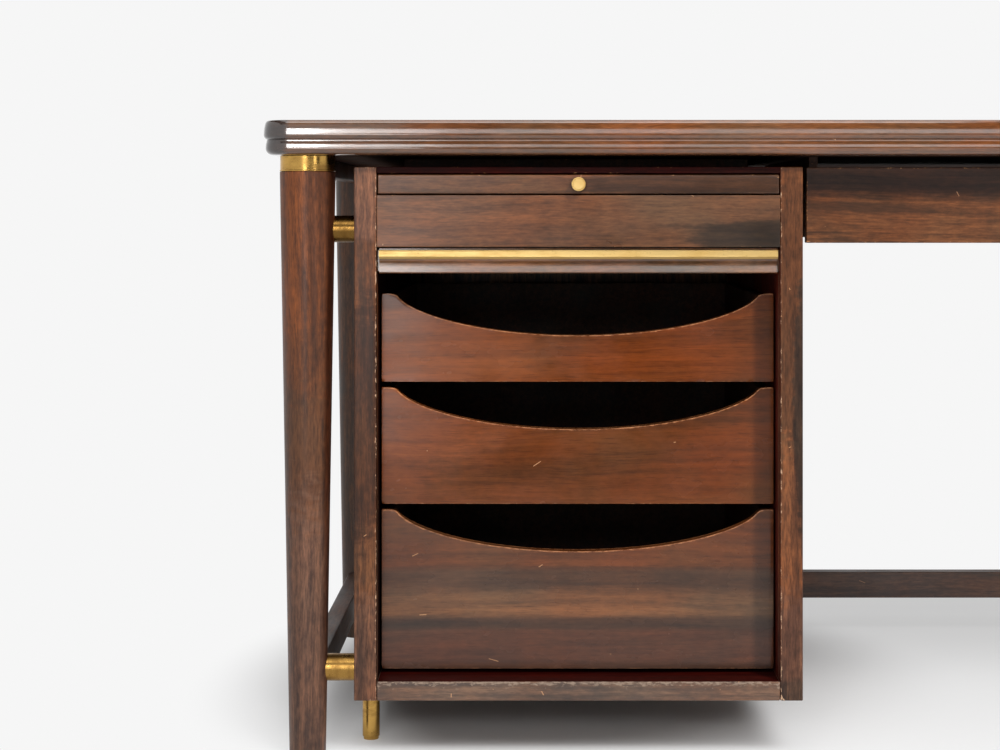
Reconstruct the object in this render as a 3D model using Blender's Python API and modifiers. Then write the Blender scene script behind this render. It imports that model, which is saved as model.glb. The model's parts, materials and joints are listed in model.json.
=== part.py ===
"""Tambour desk with one pedestal, modelled as separate pieces at their real size.

Metres, +Z up, front towards -Y, origin on the floor under the middle of the desktop.
The tambour is stored open: its curtain lies over the drawers and its lead rail hangs
at the head of the opening.
"""
import math

import bmesh
import bpy
from mathutils import Vector

# Clearances and small radii
SEAT = 0.0003
RUN = 0.0015
EASE = 0.0012
TURNED_STEPS = 32

# Desktop
DESK_WIDTH = 1.510
DESK_DEPTH = 0.750
DESK_HEIGHT = 0.750
TOP_THICKNESS = 0.041
TOP_CORNER_RADIUS = 0.030
CORNER_STEPS = 7
BAND_WIDTH = 0.024
UPPER_LOBE = 0.023
LOBE_BULGE = 0.0045
LOBE_STEPS = 6

# Legs and the frame between them
LEG_INSET = 0.045
LEG_END_INSET = 0.050
LEG_TOP_RADIUS = 0.033
LEG_FOOT_RADIUS = 0.0215
FERRULE_HEIGHT = 0.0185
FERRULE_WALL = 0.003
RAIL_HEIGHT = 0.022
RAIL_WIDTH = 0.022
STRETCHER_TOP = 0.098
STRETCHER_HEIGHT = 0.039
STRETCHER_WIDTH = 0.0236

# Pedestal case
PEDESTAL_OFFSET = 0.1065
PEDESTAL_WIDTH = 0.529
PEDESTAL_SETBACK = 0.026
PEDESTAL_DROP = 0.0135
SIDE_THICKNESS = 0.0265
CASE_TOP_THICKNESS = 0.0075
CASE_BOTTOM_THICKNESS = 0.023
CASE_BACK_THICKNESS = 0.012
PACKER_INSET = 0.050
PACKER_SETBACK = 0.140
ROD_RADIUS = 0.016
ROD_SETBACK = 0.008
UPPER_ROD_DROP = 0.0733
LOWER_ROD_RISE = 0.034
FOOT_RADIUS = 0.0105
FOOT_HEIGHT = 0.0665
FOOT_SETBACK = 0.086

# Writing slide
SLIDE_THICKNESS = 0.0222
SLIDE_LENGTH = 0.420
SLIDE_GAP = 0.0018
BEARER_WIDTH = 0.016
BEARER_HEIGHT = 0.012
KNOB_RADIUS = 0.0083
KNOB_HEAD = 0.006
KNOB_STEM = 0.005
KNOB_STEM_RADIUS = 0.0045

# Tambour
PANEL_HEIGHT = 0.0612
PANEL_THICKNESS = 0.010
LEAD_GAP = 0.0013
LEAD_HEIGHT = 0.0298
LEAD_RECESS = 0.007
LEAD_THICKNESS = 0.017
LEAD_STOP_GAP = 0.001
PULL_HEIGHT = 0.011
PULL_DROP = 0.002
PULL_PROJECTION = 0.0062
TAMBOUR_CLEARANCE = 0.002
CANVAS_THICKNESS = 0.001
SLAT_THICKNESS = 0.006
SLAT_GAP = 0.0012
SLAT_CHAMFER = 0.0015
CURTAIN_SLATS = 28
BEND_SLATS = 3
BEND_RADIUS = 0.030
GROOVE_DEPTH = 0.008
GROOVE_END_PLAY = 0.001
GROOVE_RUN_OUT = 0.030
GROOVE_ARC_STEPS = 12
CANVAS_STEPS = 4

# Pedestal drawers: the bottom one takes the height that is left
TOP_DRAWER_HEIGHT = 0.1063
MIDDLE_DRAWER_HEIGHT = 0.1402
HEADROOM = 0.0248
DRAWER_GAP = 0.0064
FLOOR_GAP = 0.0049
DRAWER_RECESS = 0.045
DRAWER_SIDE_GAP = 0.003
FRONT_THICKNESS = 0.016
SCOOP_SAG = 0.051
SCOOP_EAR = 0.018
SCOOP_FULLNESS = 0.6
SCOOP_STEPS = 18
BOX_LENGTH = 0.480
BOX_WALL = 0.010
BOX_FLOOR = 0.006
BOX_FLOOR_RISE = 0.004
BOX_SIDE_GAP = 0.002
BOX_TOP_GAP = 0.005
RUNNER_WIDTH = 0.014
RUNNER_HEIGHT = 0.012

# Kneehole drawer
KNEE_RECESS = 0.030
KNEE_FRONT_HEIGHT = 0.090
KNEE_GAP = 0.008
KNEE_LEG_GAP = 0.023
KNEE_BOX_LENGTH = 0.420
HANGER_WEB = 0.010
HANGER_FLANGE = 0.012
HANGER_FLANGE_THICKNESS = 0.008
HANGER_INSET = 0.006
HANGER_LENGTH = 0.460

# Places worked out from the sizes above: desktop and frame
TOP_UNDER = DESK_HEIGHT - TOP_THICKNESS
LEG_X = DESK_WIDTH / 2 - LEG_END_INSET
LEG_Y = DESK_DEPTH / 2 - LEG_INSET
LEG_TOP = TOP_UNDER - SEAT
FERRULE_BOTTOM = LEG_TOP - FERRULE_HEIGHT

# Pedestal case
CASE_X0 = PEDESTAL_OFFSET - DESK_WIDTH / 2
CASE_X1 = CASE_X0 + PEDESTAL_WIDTH
INNER_X0 = CASE_X0 + SIDE_THICKNESS
INNER_X1 = CASE_X1 - SIDE_THICKNESS
CASE_MID_X = (CASE_X0 + CASE_X1) / 2
CASE_Y0 = PEDESTAL_SETBACK - DESK_DEPTH / 2
CASE_Y1 = LEG_Y - STRETCHER_WIDTH / 2 - SEAT
BACK_Y0 = CASE_Y1 - CASE_BACK_THICKNESS

# Heights of the pedestal, stacked from its top down to the lead rail and up from its foot
CASE_TOP = TOP_UNDER - PEDESTAL_DROP
SLIDE_TOP = CASE_TOP - CASE_TOP_THICKNESS - SLIDE_GAP
SLIDE_BOTTOM = SLIDE_TOP - SLIDE_THICKNESS
PANEL_TOP = SLIDE_BOTTOM - SLIDE_GAP
PANEL_BOTTOM = PANEL_TOP - PANEL_HEIGHT
LEAD_TOP = PANEL_BOTTOM - LEAD_GAP
LEAD_BOTTOM = LEAD_TOP - LEAD_HEIGHT
CASE_BOTTOM = FOOT_HEIGHT
FLOOR_TOP = CASE_BOTTOM + CASE_BOTTOM_THICKNESS
DRAWERS_TOP = LEAD_BOTTOM - HEADROOM
LOWER_DRAWERS_TOP = DRAWERS_TOP - TOP_DRAWER_HEIGHT - DRAWER_GAP
BOTTOM_DRAWER_HEIGHT = LOWER_DRAWERS_TOP - MIDDLE_DRAWER_HEIGHT - DRAWER_GAP - FLOOR_TOP - FLOOR_GAP
DRAWERS = (("top", TOP_DRAWER_HEIGHT), ("middle", MIDDLE_DRAWER_HEIGHT), ("bottom", BOTTOM_DRAWER_HEIGHT))

# Tambour path: up the front plane, round the bend and back over the drawers
TAMBOUR_THICKNESS = CANVAS_THICKNESS + SLAT_THICKNESS
TAMBOUR_Y = CASE_Y0 + PANEL_THICKNESS + TAMBOUR_CLEARANCE + TAMBOUR_THICKNESS / 2
TRAVEL = LEAD_BOTTOM - FLOOR_TOP - LEAD_STOP_GAP
SLAT_PITCH = TRAVEL / CURTAIN_SLATS
BEND_LENGTH = SLAT_PITCH * BEND_SLATS
BEND_ARC = BEND_RADIUS * math.pi / 2
BEND_RISE = BEND_LENGTH - BEND_ARC
BEND_Z = LEAD_TOP + BEND_RISE
RUN_Z = BEND_Z + BEND_RADIUS
RUN_Y = TAMBOUR_Y + BEND_RADIUS
SLAT_REACH = GROOVE_DEPTH - GROOVE_END_PLAY

# Pivot that carries the flat curtain between its stored and its closed place
PIVOT_Z = (RUN_Z + LEAD_TOP - TRAVEL - BEND_RADIUS) / 2
PIVOT_Y = TAMBOUR_Y + RUN_Z - PIVOT_Z

# Kneehole drawer
KNEE_X0 = CASE_X1 + KNEE_GAP
KNEE_X1 = LEG_X - LEG_TOP_RADIUS - KNEE_LEG_GAP
KNEE_Y0 = CASE_Y0 + KNEE_RECESS
KNEE_BOTTOM = CASE_TOP - KNEE_FRONT_HEIGHT

# Colours and finish: name, base colour, roughness, metallic
FINISHES = {
    "dark_wood": ((0.085, 0.036, 0.020), 0.32, 0.0),
    "red_wood": ((0.120, 0.042, 0.020), 0.30, 0.0),
    "inner_wood": ((0.060, 0.026, 0.015), 0.55, 0.0),
    "brass": ((0.780, 0.560, 0.230), 0.22, 1.0),
}

PARTS = None
CUTTERS = None


def clear_scene():
    """Empty the file and make the two collections."""
    global PARTS, CUTTERS
    for obj in list(bpy.data.objects):
        bpy.data.objects.remove(obj, do_unlink=True)
    PARTS = bpy.data.collections.new("tambour_desk")
    CUTTERS = bpy.data.collections.new("cutters")
    bpy.context.scene.collection.children.link(PARTS)
    bpy.context.scene.collection.children.link(CUTTERS)


def make_materials():
    """One Principled material for each finish."""
    for name, (colour, roughness, metallic) in FINISHES.items():
        material = bpy.data.materials.new(name)
        material.use_nodes = True
        shader = material.node_tree.nodes["Principled BSDF"]
        shader.inputs["Base Color"].default_value = (*colour, 1.0)
        shader.inputs["Roughness"].default_value = roughness
        shader.inputs["Metallic"].default_value = metallic


def add_object(name, data, finish, location, parent=None, collection=None):
    """Link an object at a world location, under a parent that is only moved."""
    obj = bpy.data.objects.new(name, data)
    if finish:
        data.materials.append(bpy.data.materials[finish])
    obj.parent = parent
    obj.location = Vector(location) - (parent.location if parent else Vector())
    (collection or PARTS).objects.link(obj)
    return obj


def carrier(name, location):
    """Empty on a joint's axis that carries the pieces of one moving body."""
    empty = bpy.data.objects.new(name, None)
    empty.location = location
    PARTS.objects.link(empty)
    return empty


def as_cutter(obj):
    """Keep a cutter out of the model."""
    obj.hide_render = True
    obj.display_type = "WIRE"
    return obj


def cut(obj, cutter, operation="DIFFERENCE"):
    """Exact Boolean with another object."""
    modifier = obj.modifiers.new(cutter.name, "BOOLEAN")
    modifier.operation = operation
    modifier.object = cutter


def board(name, low, high, finish, parent=None, ease=EASE, collection=None):
    """Box between two corners, with eased edges."""
    low, high = Vector(low), Vector(high)
    bm = bmesh.new()
    bmesh.ops.create_cube(bm, size=1.0)
    bmesh.ops.scale(bm, vec=high - low, verts=bm.verts)
    mesh = bpy.data.meshes.new(name)
    bm.to_mesh(mesh)
    bm.free()
    obj = add_object(name, mesh, finish, (low + high) / 2, parent, collection)
    if ease:
        bevel = obj.modifiers.new("eased_edges", "BEVEL")
        bevel.width = ease
        bevel.segments = 1
    return obj


def turned(name, profile, finish, location, rotation=(0, 0, 0), parent=None, closed=False, collection=None):
    """Profile of (radius, height) points, listed down its outer side, spun about its own Z."""
    bm = bmesh.new()
    verts = [bm.verts.new((radius, 0, height)) for radius, height in profile]
    pairs = list(zip(verts, verts[1:]))
    if closed:
        pairs.append((verts[-1], verts[0]))
    for first, second in pairs:
        bm.edges.new((first, second))
    mesh = bpy.data.meshes.new(name)
    bm.to_mesh(mesh)
    bm.free()
    obj = add_object(name, mesh, finish, location, parent, collection)
    obj.rotation_euler = rotation
    screw = obj.modifiers.new("turned", "SCREW")
    screw.steps = screw.render_steps = TURNED_STEPS
    screw.use_merge_vertices = True
    screw.merge_threshold = 0.00001
    screw.use_smooth_shade = False
    return obj


def outline_solid(name, points, thickness, finish, location, rotation, parent=None, collection=None):
    """Flat outline extruded to a thickness about its own plane, as a closed mesh."""
    curve = bpy.data.curves.new(name, "CURVE")
    curve.dimensions = "2D"
    curve.fill_mode = "BOTH"
    curve.extrude = thickness / 2
    spline = curve.splines.new("POLY")
    spline.points.add(len(points) - 1)
    for point, (u, v) in zip(spline.points, points):
        point.co = (u, v, 0, 1)
    spline.use_cyclic_u = True
    source = bpy.data.objects.new(name, curve)
    CUTTERS.objects.link(source)
    bpy.context.view_layer.update()
    evaluated = source.evaluated_get(bpy.context.evaluated_depsgraph_get())
    mesh = bpy.data.meshes.new_from_object(evaluated)
    bpy.data.objects.remove(source, do_unlink=True)
    bpy.data.curves.remove(curve)
    bm = bmesh.new()
    bm.from_mesh(mesh)
    bmesh.ops.remove_doubles(bm, verts=bm.verts, dist=0.00001)
    bmesh.ops.recalc_face_normals(bm, faces=bm.faces)
    bm.to_mesh(mesh)
    bm.free()
    mesh.materials.clear()
    obj = add_object(name, mesh, finish, location, parent, collection)
    obj.rotation_euler = rotation
    return obj


# Turns an outline's (u, v) into world (x, z), (y, z) or (x, y)
FACING_FRONT = (math.pi / 2, 0, 0)
FACING_SIDE = (math.pi / 2, 0, math.pi / 2)
FACING_UP = (0, 0, 0)


def rounded_rectangle(inset):
    """Desktop outline drawn in by an inset, with its corners as arcs about fixed centres."""
    radius = TOP_CORNER_RADIUS - inset
    centre_x = DESK_WIDTH / 2 - TOP_CORNER_RADIUS
    centre_y = DESK_DEPTH / 2 - TOP_CORNER_RADIUS
    points = []
    for quarter, (sx, sy) in enumerate(((1, 1), (-1, 1), (-1, -1), (1, -1))):
        for step in range(CORNER_STEPS + 1):
            angle = (quarter + step / CORNER_STEPS) * math.pi / 2
            x = sx * centre_x + radius * math.cos(angle)
            y = sy * centre_y + radius * math.sin(angle)
            points.append((x, y))
    return points


def lobe(bottom, top):
    """Rounded bead of the edge moulding, as (inset, height) points from its foot up."""
    points = []
    for step in range(LOBE_STEPS + 1):
        angle = math.pi * (step / LOBE_STEPS - 0.5)
        rise = (math.sin(angle) + 1) / 2
        points.append((LOBE_BULGE * (1 - math.cos(angle)), bottom + (top - bottom) * rise))
    return points


def edge_section():
    """Closed section of the edge band: its inner wall and the two lobes outside."""
    notch = DESK_HEIGHT - UPPER_LOBE
    lower = lobe(TOP_UNDER, notch)
    upper = lobe(notch, DESK_HEIGHT)
    return [(BAND_WIDTH, TOP_UNDER)] + lower + upper[1:] + [(BAND_WIDTH, DESK_HEIGHT)]


def build_desktop():
    """Flat panel and the moulded band round it."""
    panel = rounded_rectangle(BAND_WIDTH + SEAT)
    height = TOP_UNDER + TOP_THICKNESS / 2
    outline_solid("top_panel", panel, TOP_THICKNESS, "dark_wood", (0, 0, height), FACING_UP)
    bm = bmesh.new()
    rings = [[bm.verts.new((x, y, z)) for x, y in rounded_rectangle(inset)] for inset, z in edge_section()]
    for first, second in zip(rings, rings[1:] + rings[:1]):
        loop = list(zip(first, second))
        for (low, high), (next_low, next_high) in zip(loop, loop[1:] + loop[:1]):
            bm.faces.new((low, next_low, next_high, high))
    bmesh.ops.recalc_face_normals(bm, faces=bm.faces)
    mesh = bpy.data.meshes.new("top_edge_band")
    bm.to_mesh(mesh)
    bm.free()
    add_object("top_edge_band", mesh, "dark_wood", (0, 0, 0))


def leg_radius(z):
    """Radius of the tapered leg at a height."""
    return LEG_FOOT_RADIUS + (LEG_TOP_RADIUS - LEG_FOOT_RADIUS) * z / FERRULE_BOTTOM


def leg_places():
    """Name and axis of each leg."""
    for y_name, y in (("front", -LEG_Y), ("rear", LEG_Y)):
        for x_name, x in (("left", -LEG_X), ("right", LEG_X)):
            yield f"{y_name}_{x_name}", (x, y, 0)


def build_legs():
    """Tapered legs with a brass ferrule round each neck, and a cutter of each leg's outer shape."""
    neck = LEG_TOP_RADIUS - FERRULE_WALL - SEAT
    leg = [(0, LEG_TOP), (neck, LEG_TOP), (neck, FERRULE_BOTTOM), (LEG_TOP_RADIUS, FERRULE_BOTTOM),
           (LEG_FOOT_RADIUS, EASE), (LEG_FOOT_RADIUS - EASE, 0), (0, 0)]
    ring_low = FERRULE_BOTTOM + SEAT
    bore = neck + SEAT
    ferrule = [(bore, LEG_TOP), (LEG_TOP_RADIUS, LEG_TOP), (LEG_TOP_RADIUS, ring_low), (bore, ring_low)]
    beyond = LEG_TOP + RAIL_HEIGHT
    envelope = [(0, beyond), (LEG_TOP_RADIUS + SEAT, beyond), (LEG_TOP_RADIUS + SEAT, FERRULE_BOTTOM),
                (LEG_FOOT_RADIUS + SEAT, 0), (0, 0)]
    for name, place in leg_places():
        turned(f"leg_{name}", leg, "dark_wood", place)
        turned(f"ferrule_{name}", ferrule, "brass", place, closed=True)
        as_cutter(turned(f"envelope_{name}", envelope, None, place, collection=CUTTERS))


def cope(obj, *legs):
    """Shape a piece's ends to the legs that it meets."""
    for leg in legs:
        cut(obj, bpy.data.objects[f"envelope_{leg}"])


def build_frame():
    """Rails under the desktop and stretchers near the floor, coped to the legs."""
    rail_top = TOP_UNDER - SEAT
    members = (("rail", RAIL_WIDTH, rail_top - RAIL_HEIGHT, rail_top),
               ("stretcher", STRETCHER_WIDTH, STRETCHER_TOP - STRETCHER_HEIGHT, STRETCHER_TOP))
    for kind, width, low, high in members:
        for side, x in (("left", -LEG_X), ("right", LEG_X)):
            member = board(f"side_{kind}_{side}", (x - width / 2, -LEG_Y, low),
                           (x + width / 2, LEG_Y, high), "dark_wood", ease=0)
            cope(member, f"front_{side}", f"rear_{side}")
        back = board(f"back_{kind}", (-LEG_X, LEG_Y - width / 2, low), (LEG_X, LEG_Y + width / 2, high),
                     "dark_wood", ease=0)
        cope(back, "rear_left", "rear_right")


def path_point(distance, outward):
    """Point (y, z) on the tambour's path, a distance past the lead rail's top and outward of its middle."""
    if distance <= BEND_RISE:
        return TAMBOUR_Y - outward, LEAD_TOP + distance
    if distance <= BEND_LENGTH:
        angle = (distance - BEND_RISE) / BEND_RADIUS
        reach = BEND_RADIUS + outward
        return RUN_Y - reach * math.cos(angle), BEND_Z + reach * math.sin(angle)
    return RUN_Y + distance - BEND_LENGTH, RUN_Z + outward


def curtain_section(start, slats):
    """Outline of canvas and slats from a place on the path, as (y, z) points."""
    inner = -TAMBOUR_THICKNESS / 2
    base = inner + CANVAS_THICKNESS
    outer = TAMBOUR_THICKNESS / 2
    show, back = [], []
    for index in range(slats):
        low = start + index * SLAT_PITCH + SLAT_GAP / 2
        high = low + SLAT_PITCH - SLAT_GAP
        show += [(low, base), (low, outer - SLAT_CHAMFER), (low + SLAT_CHAMFER, outer),
                 (high - SLAT_CHAMFER, outer), (high, outer - SLAT_CHAMFER), (high, base)]
        back += [(low + (high - low) * step / CANVAS_STEPS, inner) for step in range(CANVAS_STEPS + 1)]
    return [path_point(*point) for point in show + back[::-1]]


def groove_section():
    """Outline of the groove that both ends of the tambour run in."""
    half = TAMBOUR_THICKNESS / 2 + SEAT
    stops = [BEND_RISE + BEND_ARC * step / GROOVE_ARC_STEPS for step in range(GROOVE_ARC_STEPS + 1)]
    stops = [FLOOR_TOP - LEAD_TOP] + stops + [BEND_LENGTH + TRAVEL + GROOVE_RUN_OUT]
    outer = [path_point(stop, half) for stop in stops]
    inner = [path_point(stop, -half) for stop in stops]
    return outer + inner[::-1]


def build_case():
    """Pedestal case with its grooved sides, and the board that hangs it from the desktop."""
    reach = INNER_X1 - INNER_X0 + 2 * GROOVE_DEPTH
    groove = as_cutter(outline_solid("tambour_groove", groove_section(), reach, None, (CASE_MID_X, 0, 0),
                                     FACING_SIDE, collection=CUTTERS))
    for side, x0, x1 in (("left", CASE_X0, INNER_X0), ("right", INNER_X1, CASE_X1)):
        panel = board(f"pedestal_side_{side}", (x0, CASE_Y0, CASE_BOTTOM), (x1, CASE_Y1, CASE_TOP),
                      "dark_wood")
        cut(panel, groove)
    x0, x1 = INNER_X0 + SEAT, INNER_X1 - SEAT
    back = BACK_Y0 - SEAT
    board("pedestal_top", (x0, CASE_Y0, CASE_TOP - CASE_TOP_THICKNESS), (x1, back, CASE_TOP), "dark_wood")
    board("pedestal_floor", (x0, CASE_Y0, CASE_BOTTOM), (x1, back, FLOOR_TOP - SEAT), "dark_wood")
    board("pedestal_back", (x0, BACK_Y0, CASE_BOTTOM), (x1, CASE_Y1, CASE_TOP), "dark_wood")
    board("pedestal_front_panel", (x0, CASE_Y0, PANEL_BOTTOM), (x1, CASE_Y0 + PANEL_THICKNESS, PANEL_TOP),
          "dark_wood")
    board("pedestal_packer", (CASE_X0 + PACKER_INSET, CASE_Y0 + PACKER_SETBACK, CASE_TOP + SEAT),
          (CASE_X1 - PACKER_INSET, CASE_Y1 - PACKER_INSET, TOP_UNDER - SEAT), "inner_wood")


def build_case_brass():
    """Brass rods that tie the case to the front leg, and its brass feet."""
    for name, z in (("upper", CASE_TOP - UPPER_ROD_DROP), ("lower", CASE_BOTTOM + LOWER_ROD_RISE)):
        start = STRETCHER_WIDTH / 2 + SEAT - LEG_X
        length = CASE_X0 - SEAT - start
        profile = [(0, length), (ROD_RADIUS, length), (ROD_RADIUS, 0), (0, 0)]
        rod = turned(f"brass_rod_{name}", profile, "brass", (start, ROD_SETBACK - LEG_Y, z),
                     (0, math.pi / 2, 0))
        cope(rod, "front_left")
    foot_top = CASE_BOTTOM - SEAT
    foot = [(0, foot_top), (FOOT_RADIUS, foot_top), (FOOT_RADIUS, EASE), (FOOT_RADIUS - EASE, 0), (0, 0)]
    foot_x = CASE_X0 + SIDE_THICKNESS / 2
    for name, y in (("front", CASE_Y0 + FOOT_SETBACK), ("rear", CASE_Y1 - FOOT_SETBACK)):
        turned(f"pedestal_foot_{name}", foot, "brass", (foot_x, y, 0))


def knob(name, x, y, z, parent):
    """Small turned brass knob on a front face at y."""
    length = KNOB_STEM + KNOB_HEAD
    head = [(0, length), (KNOB_RADIUS - EASE, length), (KNOB_RADIUS, length - EASE), (KNOB_RADIUS, KNOB_STEM)]
    stem = [(KNOB_STEM_RADIUS, KNOB_STEM), (KNOB_STEM_RADIUS, SEAT), (0, SEAT)]
    turned(name, head + stem, "brass", (x, y, z), FACING_FRONT, parent)


def build_writing_slide():
    """Pull-out writing board on two bearers."""
    bearer_top = SLIDE_BOTTOM - SEAT
    bearer_y = CASE_Y0 + PANEL_THICKNESS + SEAT
    for side, x0, x1 in (("left", INNER_X0 + SEAT, INNER_X0 + SEAT + BEARER_WIDTH),
                         ("right", INNER_X1 - SEAT - BEARER_WIDTH, INNER_X1 - SEAT)):
        board(f"slide_bearer_{side}", (x0, bearer_y, bearer_top - BEARER_HEIGHT),
              (x1, BACK_Y0 - SEAT, bearer_top), "inner_wood")
    middle = (SLIDE_BOTTOM + SLIDE_TOP) / 2
    body = carrier("writing_slide_carrier", (CASE_MID_X, CASE_Y0, middle))
    board("writing_slide", (INNER_X0 + RUN, CASE_Y0, SLIDE_BOTTOM),
          (INNER_X1 - RUN, CASE_Y0 + SLIDE_LENGTH, SLIDE_TOP), "dark_wood", body)
    knob("writing_slide_knob", CASE_MID_X, CASE_Y0, middle, body)


def build_tambour():
    """Lead rail with its brass pull, the flat curtain and the slats held on the bend."""
    lead = carrier("tambour_lead_carrier", (CASE_MID_X, TAMBOUR_Y, LEAD_TOP))
    y0 = CASE_Y0 + LEAD_RECESS
    rail = board("tambour_lead_rail", (INNER_X0 + RUN, y0, LEAD_BOTTOM),
                 (INNER_X1 - RUN, y0 + LEAD_THICKNESS, LEAD_TOP), "dark_wood", lead)
    half = TAMBOUR_THICKNESS / 2
    tongue = board("lead_tongue", (INNER_X0 - SLAT_REACH, TAMBOUR_Y - half, LEAD_BOTTOM + EASE),
                   (INNER_X1 + SLAT_REACH, TAMBOUR_Y + half, LEAD_TOP - EASE), None, ease=0,
                   collection=CUTTERS)
    cut(rail, as_cutter(tongue), "UNION")
    pull_top = LEAD_TOP - PULL_DROP
    pull_y = y0 - SEAT
    board("tambour_pull", (INNER_X0 + RUN, pull_y - PULL_PROJECTION, pull_top - PULL_HEIGHT),
          (INNER_X1 - RUN, pull_y, pull_top), "brass", lead)
    width = INNER_X1 - INNER_X0 + 2 * SLAT_REACH
    outline_solid("tambour_bend", curtain_section(0, BEND_SLATS), width, "dark_wood", (CASE_MID_X, 0, 0),
                  FACING_SIDE)
    curtain = carrier("tambour_curtain_carrier", (CASE_MID_X, PIVOT_Y, PIVOT_Z))
    outline_solid("tambour_curtain", curtain_section(BEND_LENGTH, CURTAIN_SLATS), width, "dark_wood",
                  (CASE_MID_X, 0, 0), FACING_SIDE, curtain)


def scooped_front(width, height):
    """Drawer front's outline: square ears and a dip between them, fuller than an arc near the ears."""
    half = width / 2
    chord = half - SCOOP_EAR
    points = [(-half, 0), (half, 0), (half, height)]
    for step in range(SCOOP_STEPS + 1):
        across = math.cos(math.pi * step / SCOOP_STEPS)
        dip = SCOOP_SAG * max(0.0, 1 - across * across) ** SCOOP_FULLNESS
        points.append((chord * across, height - dip))
    points.append((-half, height))
    return points


def drawer_box(name, x0, x1, y0, length, z0, z1, body):
    """Sides and back as one open tray wall, and the loose floor held between them."""
    y1 = y0 + length
    wall = [(x0, y0), (x0 + BOX_WALL, y0), (x0 + BOX_WALL, y1 - BOX_WALL),
            (x1 - BOX_WALL, y1 - BOX_WALL), (x1 - BOX_WALL, y0), (x1, y0), (x1, y1), (x0, y1)]
    outline_solid(f"{name}_box", wall, z1 - z0, "inner_wood", (0, 0, (z0 + z1) / 2), FACING_UP, body)
    inside = BOX_WALL + SEAT
    board(f"{name}_floor", (x0 + inside, y0, z0 + BOX_FLOOR_RISE),
          (x1 - inside, y1 - inside, z0 + BOX_FLOOR_RISE + BOX_FLOOR), "inner_wood", body, ease=0)


def build_drawers():
    """Three drawers with scooped fronts, each on a pair of runners."""
    front_width = INNER_X1 - INNER_X0 - 2 * DRAWER_SIDE_GAP
    y0 = CASE_Y0 + DRAWER_RECESS
    box_y = y0 + FRONT_THICKNESS + SEAT
    x0 = INNER_X0 + DRAWER_SIDE_GAP + BOX_SIDE_GAP
    x1 = INNER_X1 - DRAWER_SIDE_GAP - BOX_SIDE_GAP
    top = DRAWERS_TOP
    for place, height in DRAWERS:
        name = f"drawer_{place}"
        bottom = top - height
        body = carrier(f"{name}_carrier", (CASE_MID_X, y0, bottom))
        outline_solid(f"{name}_front", scooped_front(front_width, height), FRONT_THICKNESS, "red_wood",
                      (CASE_MID_X, y0 + FRONT_THICKNESS / 2, bottom), FACING_FRONT, body)
        runner_top = bottom + RUNNER_HEIGHT
        drawer_box(name, x0, x1, box_y, BOX_LENGTH, runner_top + SEAT, top - BOX_TOP_GAP, body)
        for side, rx in (("left", INNER_X0 + SEAT), ("right", INNER_X1 - SEAT - RUNNER_WIDTH)):
            board(f"{name}_runner_{side}", (rx, box_y + RUN, bottom),
                  (rx + RUNNER_WIDTH, BACK_Y0 - SEAT, runner_top), "inner_wood")
        top = bottom - DRAWER_GAP


def build_kneehole_drawer():
    """Shallow drawer between the pedestal and the right legs, on two hangers under the desktop."""
    body = carrier("kneehole_drawer_carrier", ((KNEE_X0 + KNEE_X1) / 2, KNEE_Y0, KNEE_BOTTOM))
    back = KNEE_Y0 + FRONT_THICKNESS
    board("kneehole_drawer_front", (KNEE_X0, KNEE_Y0, KNEE_BOTTOM), (KNEE_X1, back, CASE_TOP),
          "dark_wood", body)
    knob("kneehole_drawer_knob", (KNEE_X0 + KNEE_X1) / 2, KNEE_Y0, (KNEE_BOTTOM + CASE_TOP) / 2, body)
    low = KNEE_BOTTOM + HANGER_INSET
    flange_top = low + HANGER_FLANGE_THICKNESS
    high = TOP_UNDER - SEAT
    hanger_y = back + RUN + HANGER_LENGTH / 2
    for side, x, inward in (("left", KNEE_X0 + HANGER_INSET, 1), ("right", KNEE_X1 - HANGER_INSET, -1)):
        web = x + inward * HANGER_WEB
        tip = web + inward * HANGER_FLANGE
        section = [(x, low), (tip, low), (tip, flange_top), (web, flange_top), (web, high), (x, high)]
        outline_solid(f"kneehole_hanger_{side}", section, HANGER_LENGTH, "inner_wood", (0, hanger_y, 0),
                      FACING_FRONT)
    reach = HANGER_INSET + HANGER_WEB + RUN
    drawer_box("kneehole_drawer", KNEE_X0 + reach, KNEE_X1 - reach, back + SEAT, KNEE_BOX_LENGTH,
               flange_top + SEAT, CASE_TOP - BOX_TOP_GAP, body)


def main():
    clear_scene()
    make_materials()
    build_desktop()
    build_legs()
    build_frame()
    build_case()
    build_case_brass()
    build_writing_slide()
    build_tambour()
    build_drawers()
    build_kneehole_drawer()


main()
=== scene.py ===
"""Tambour desk: finished pieces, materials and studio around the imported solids.

Metres, +Z up, front towards -Y, as the solids are. Each piece replaces its plain solid and rides on its body.
"""

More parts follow.
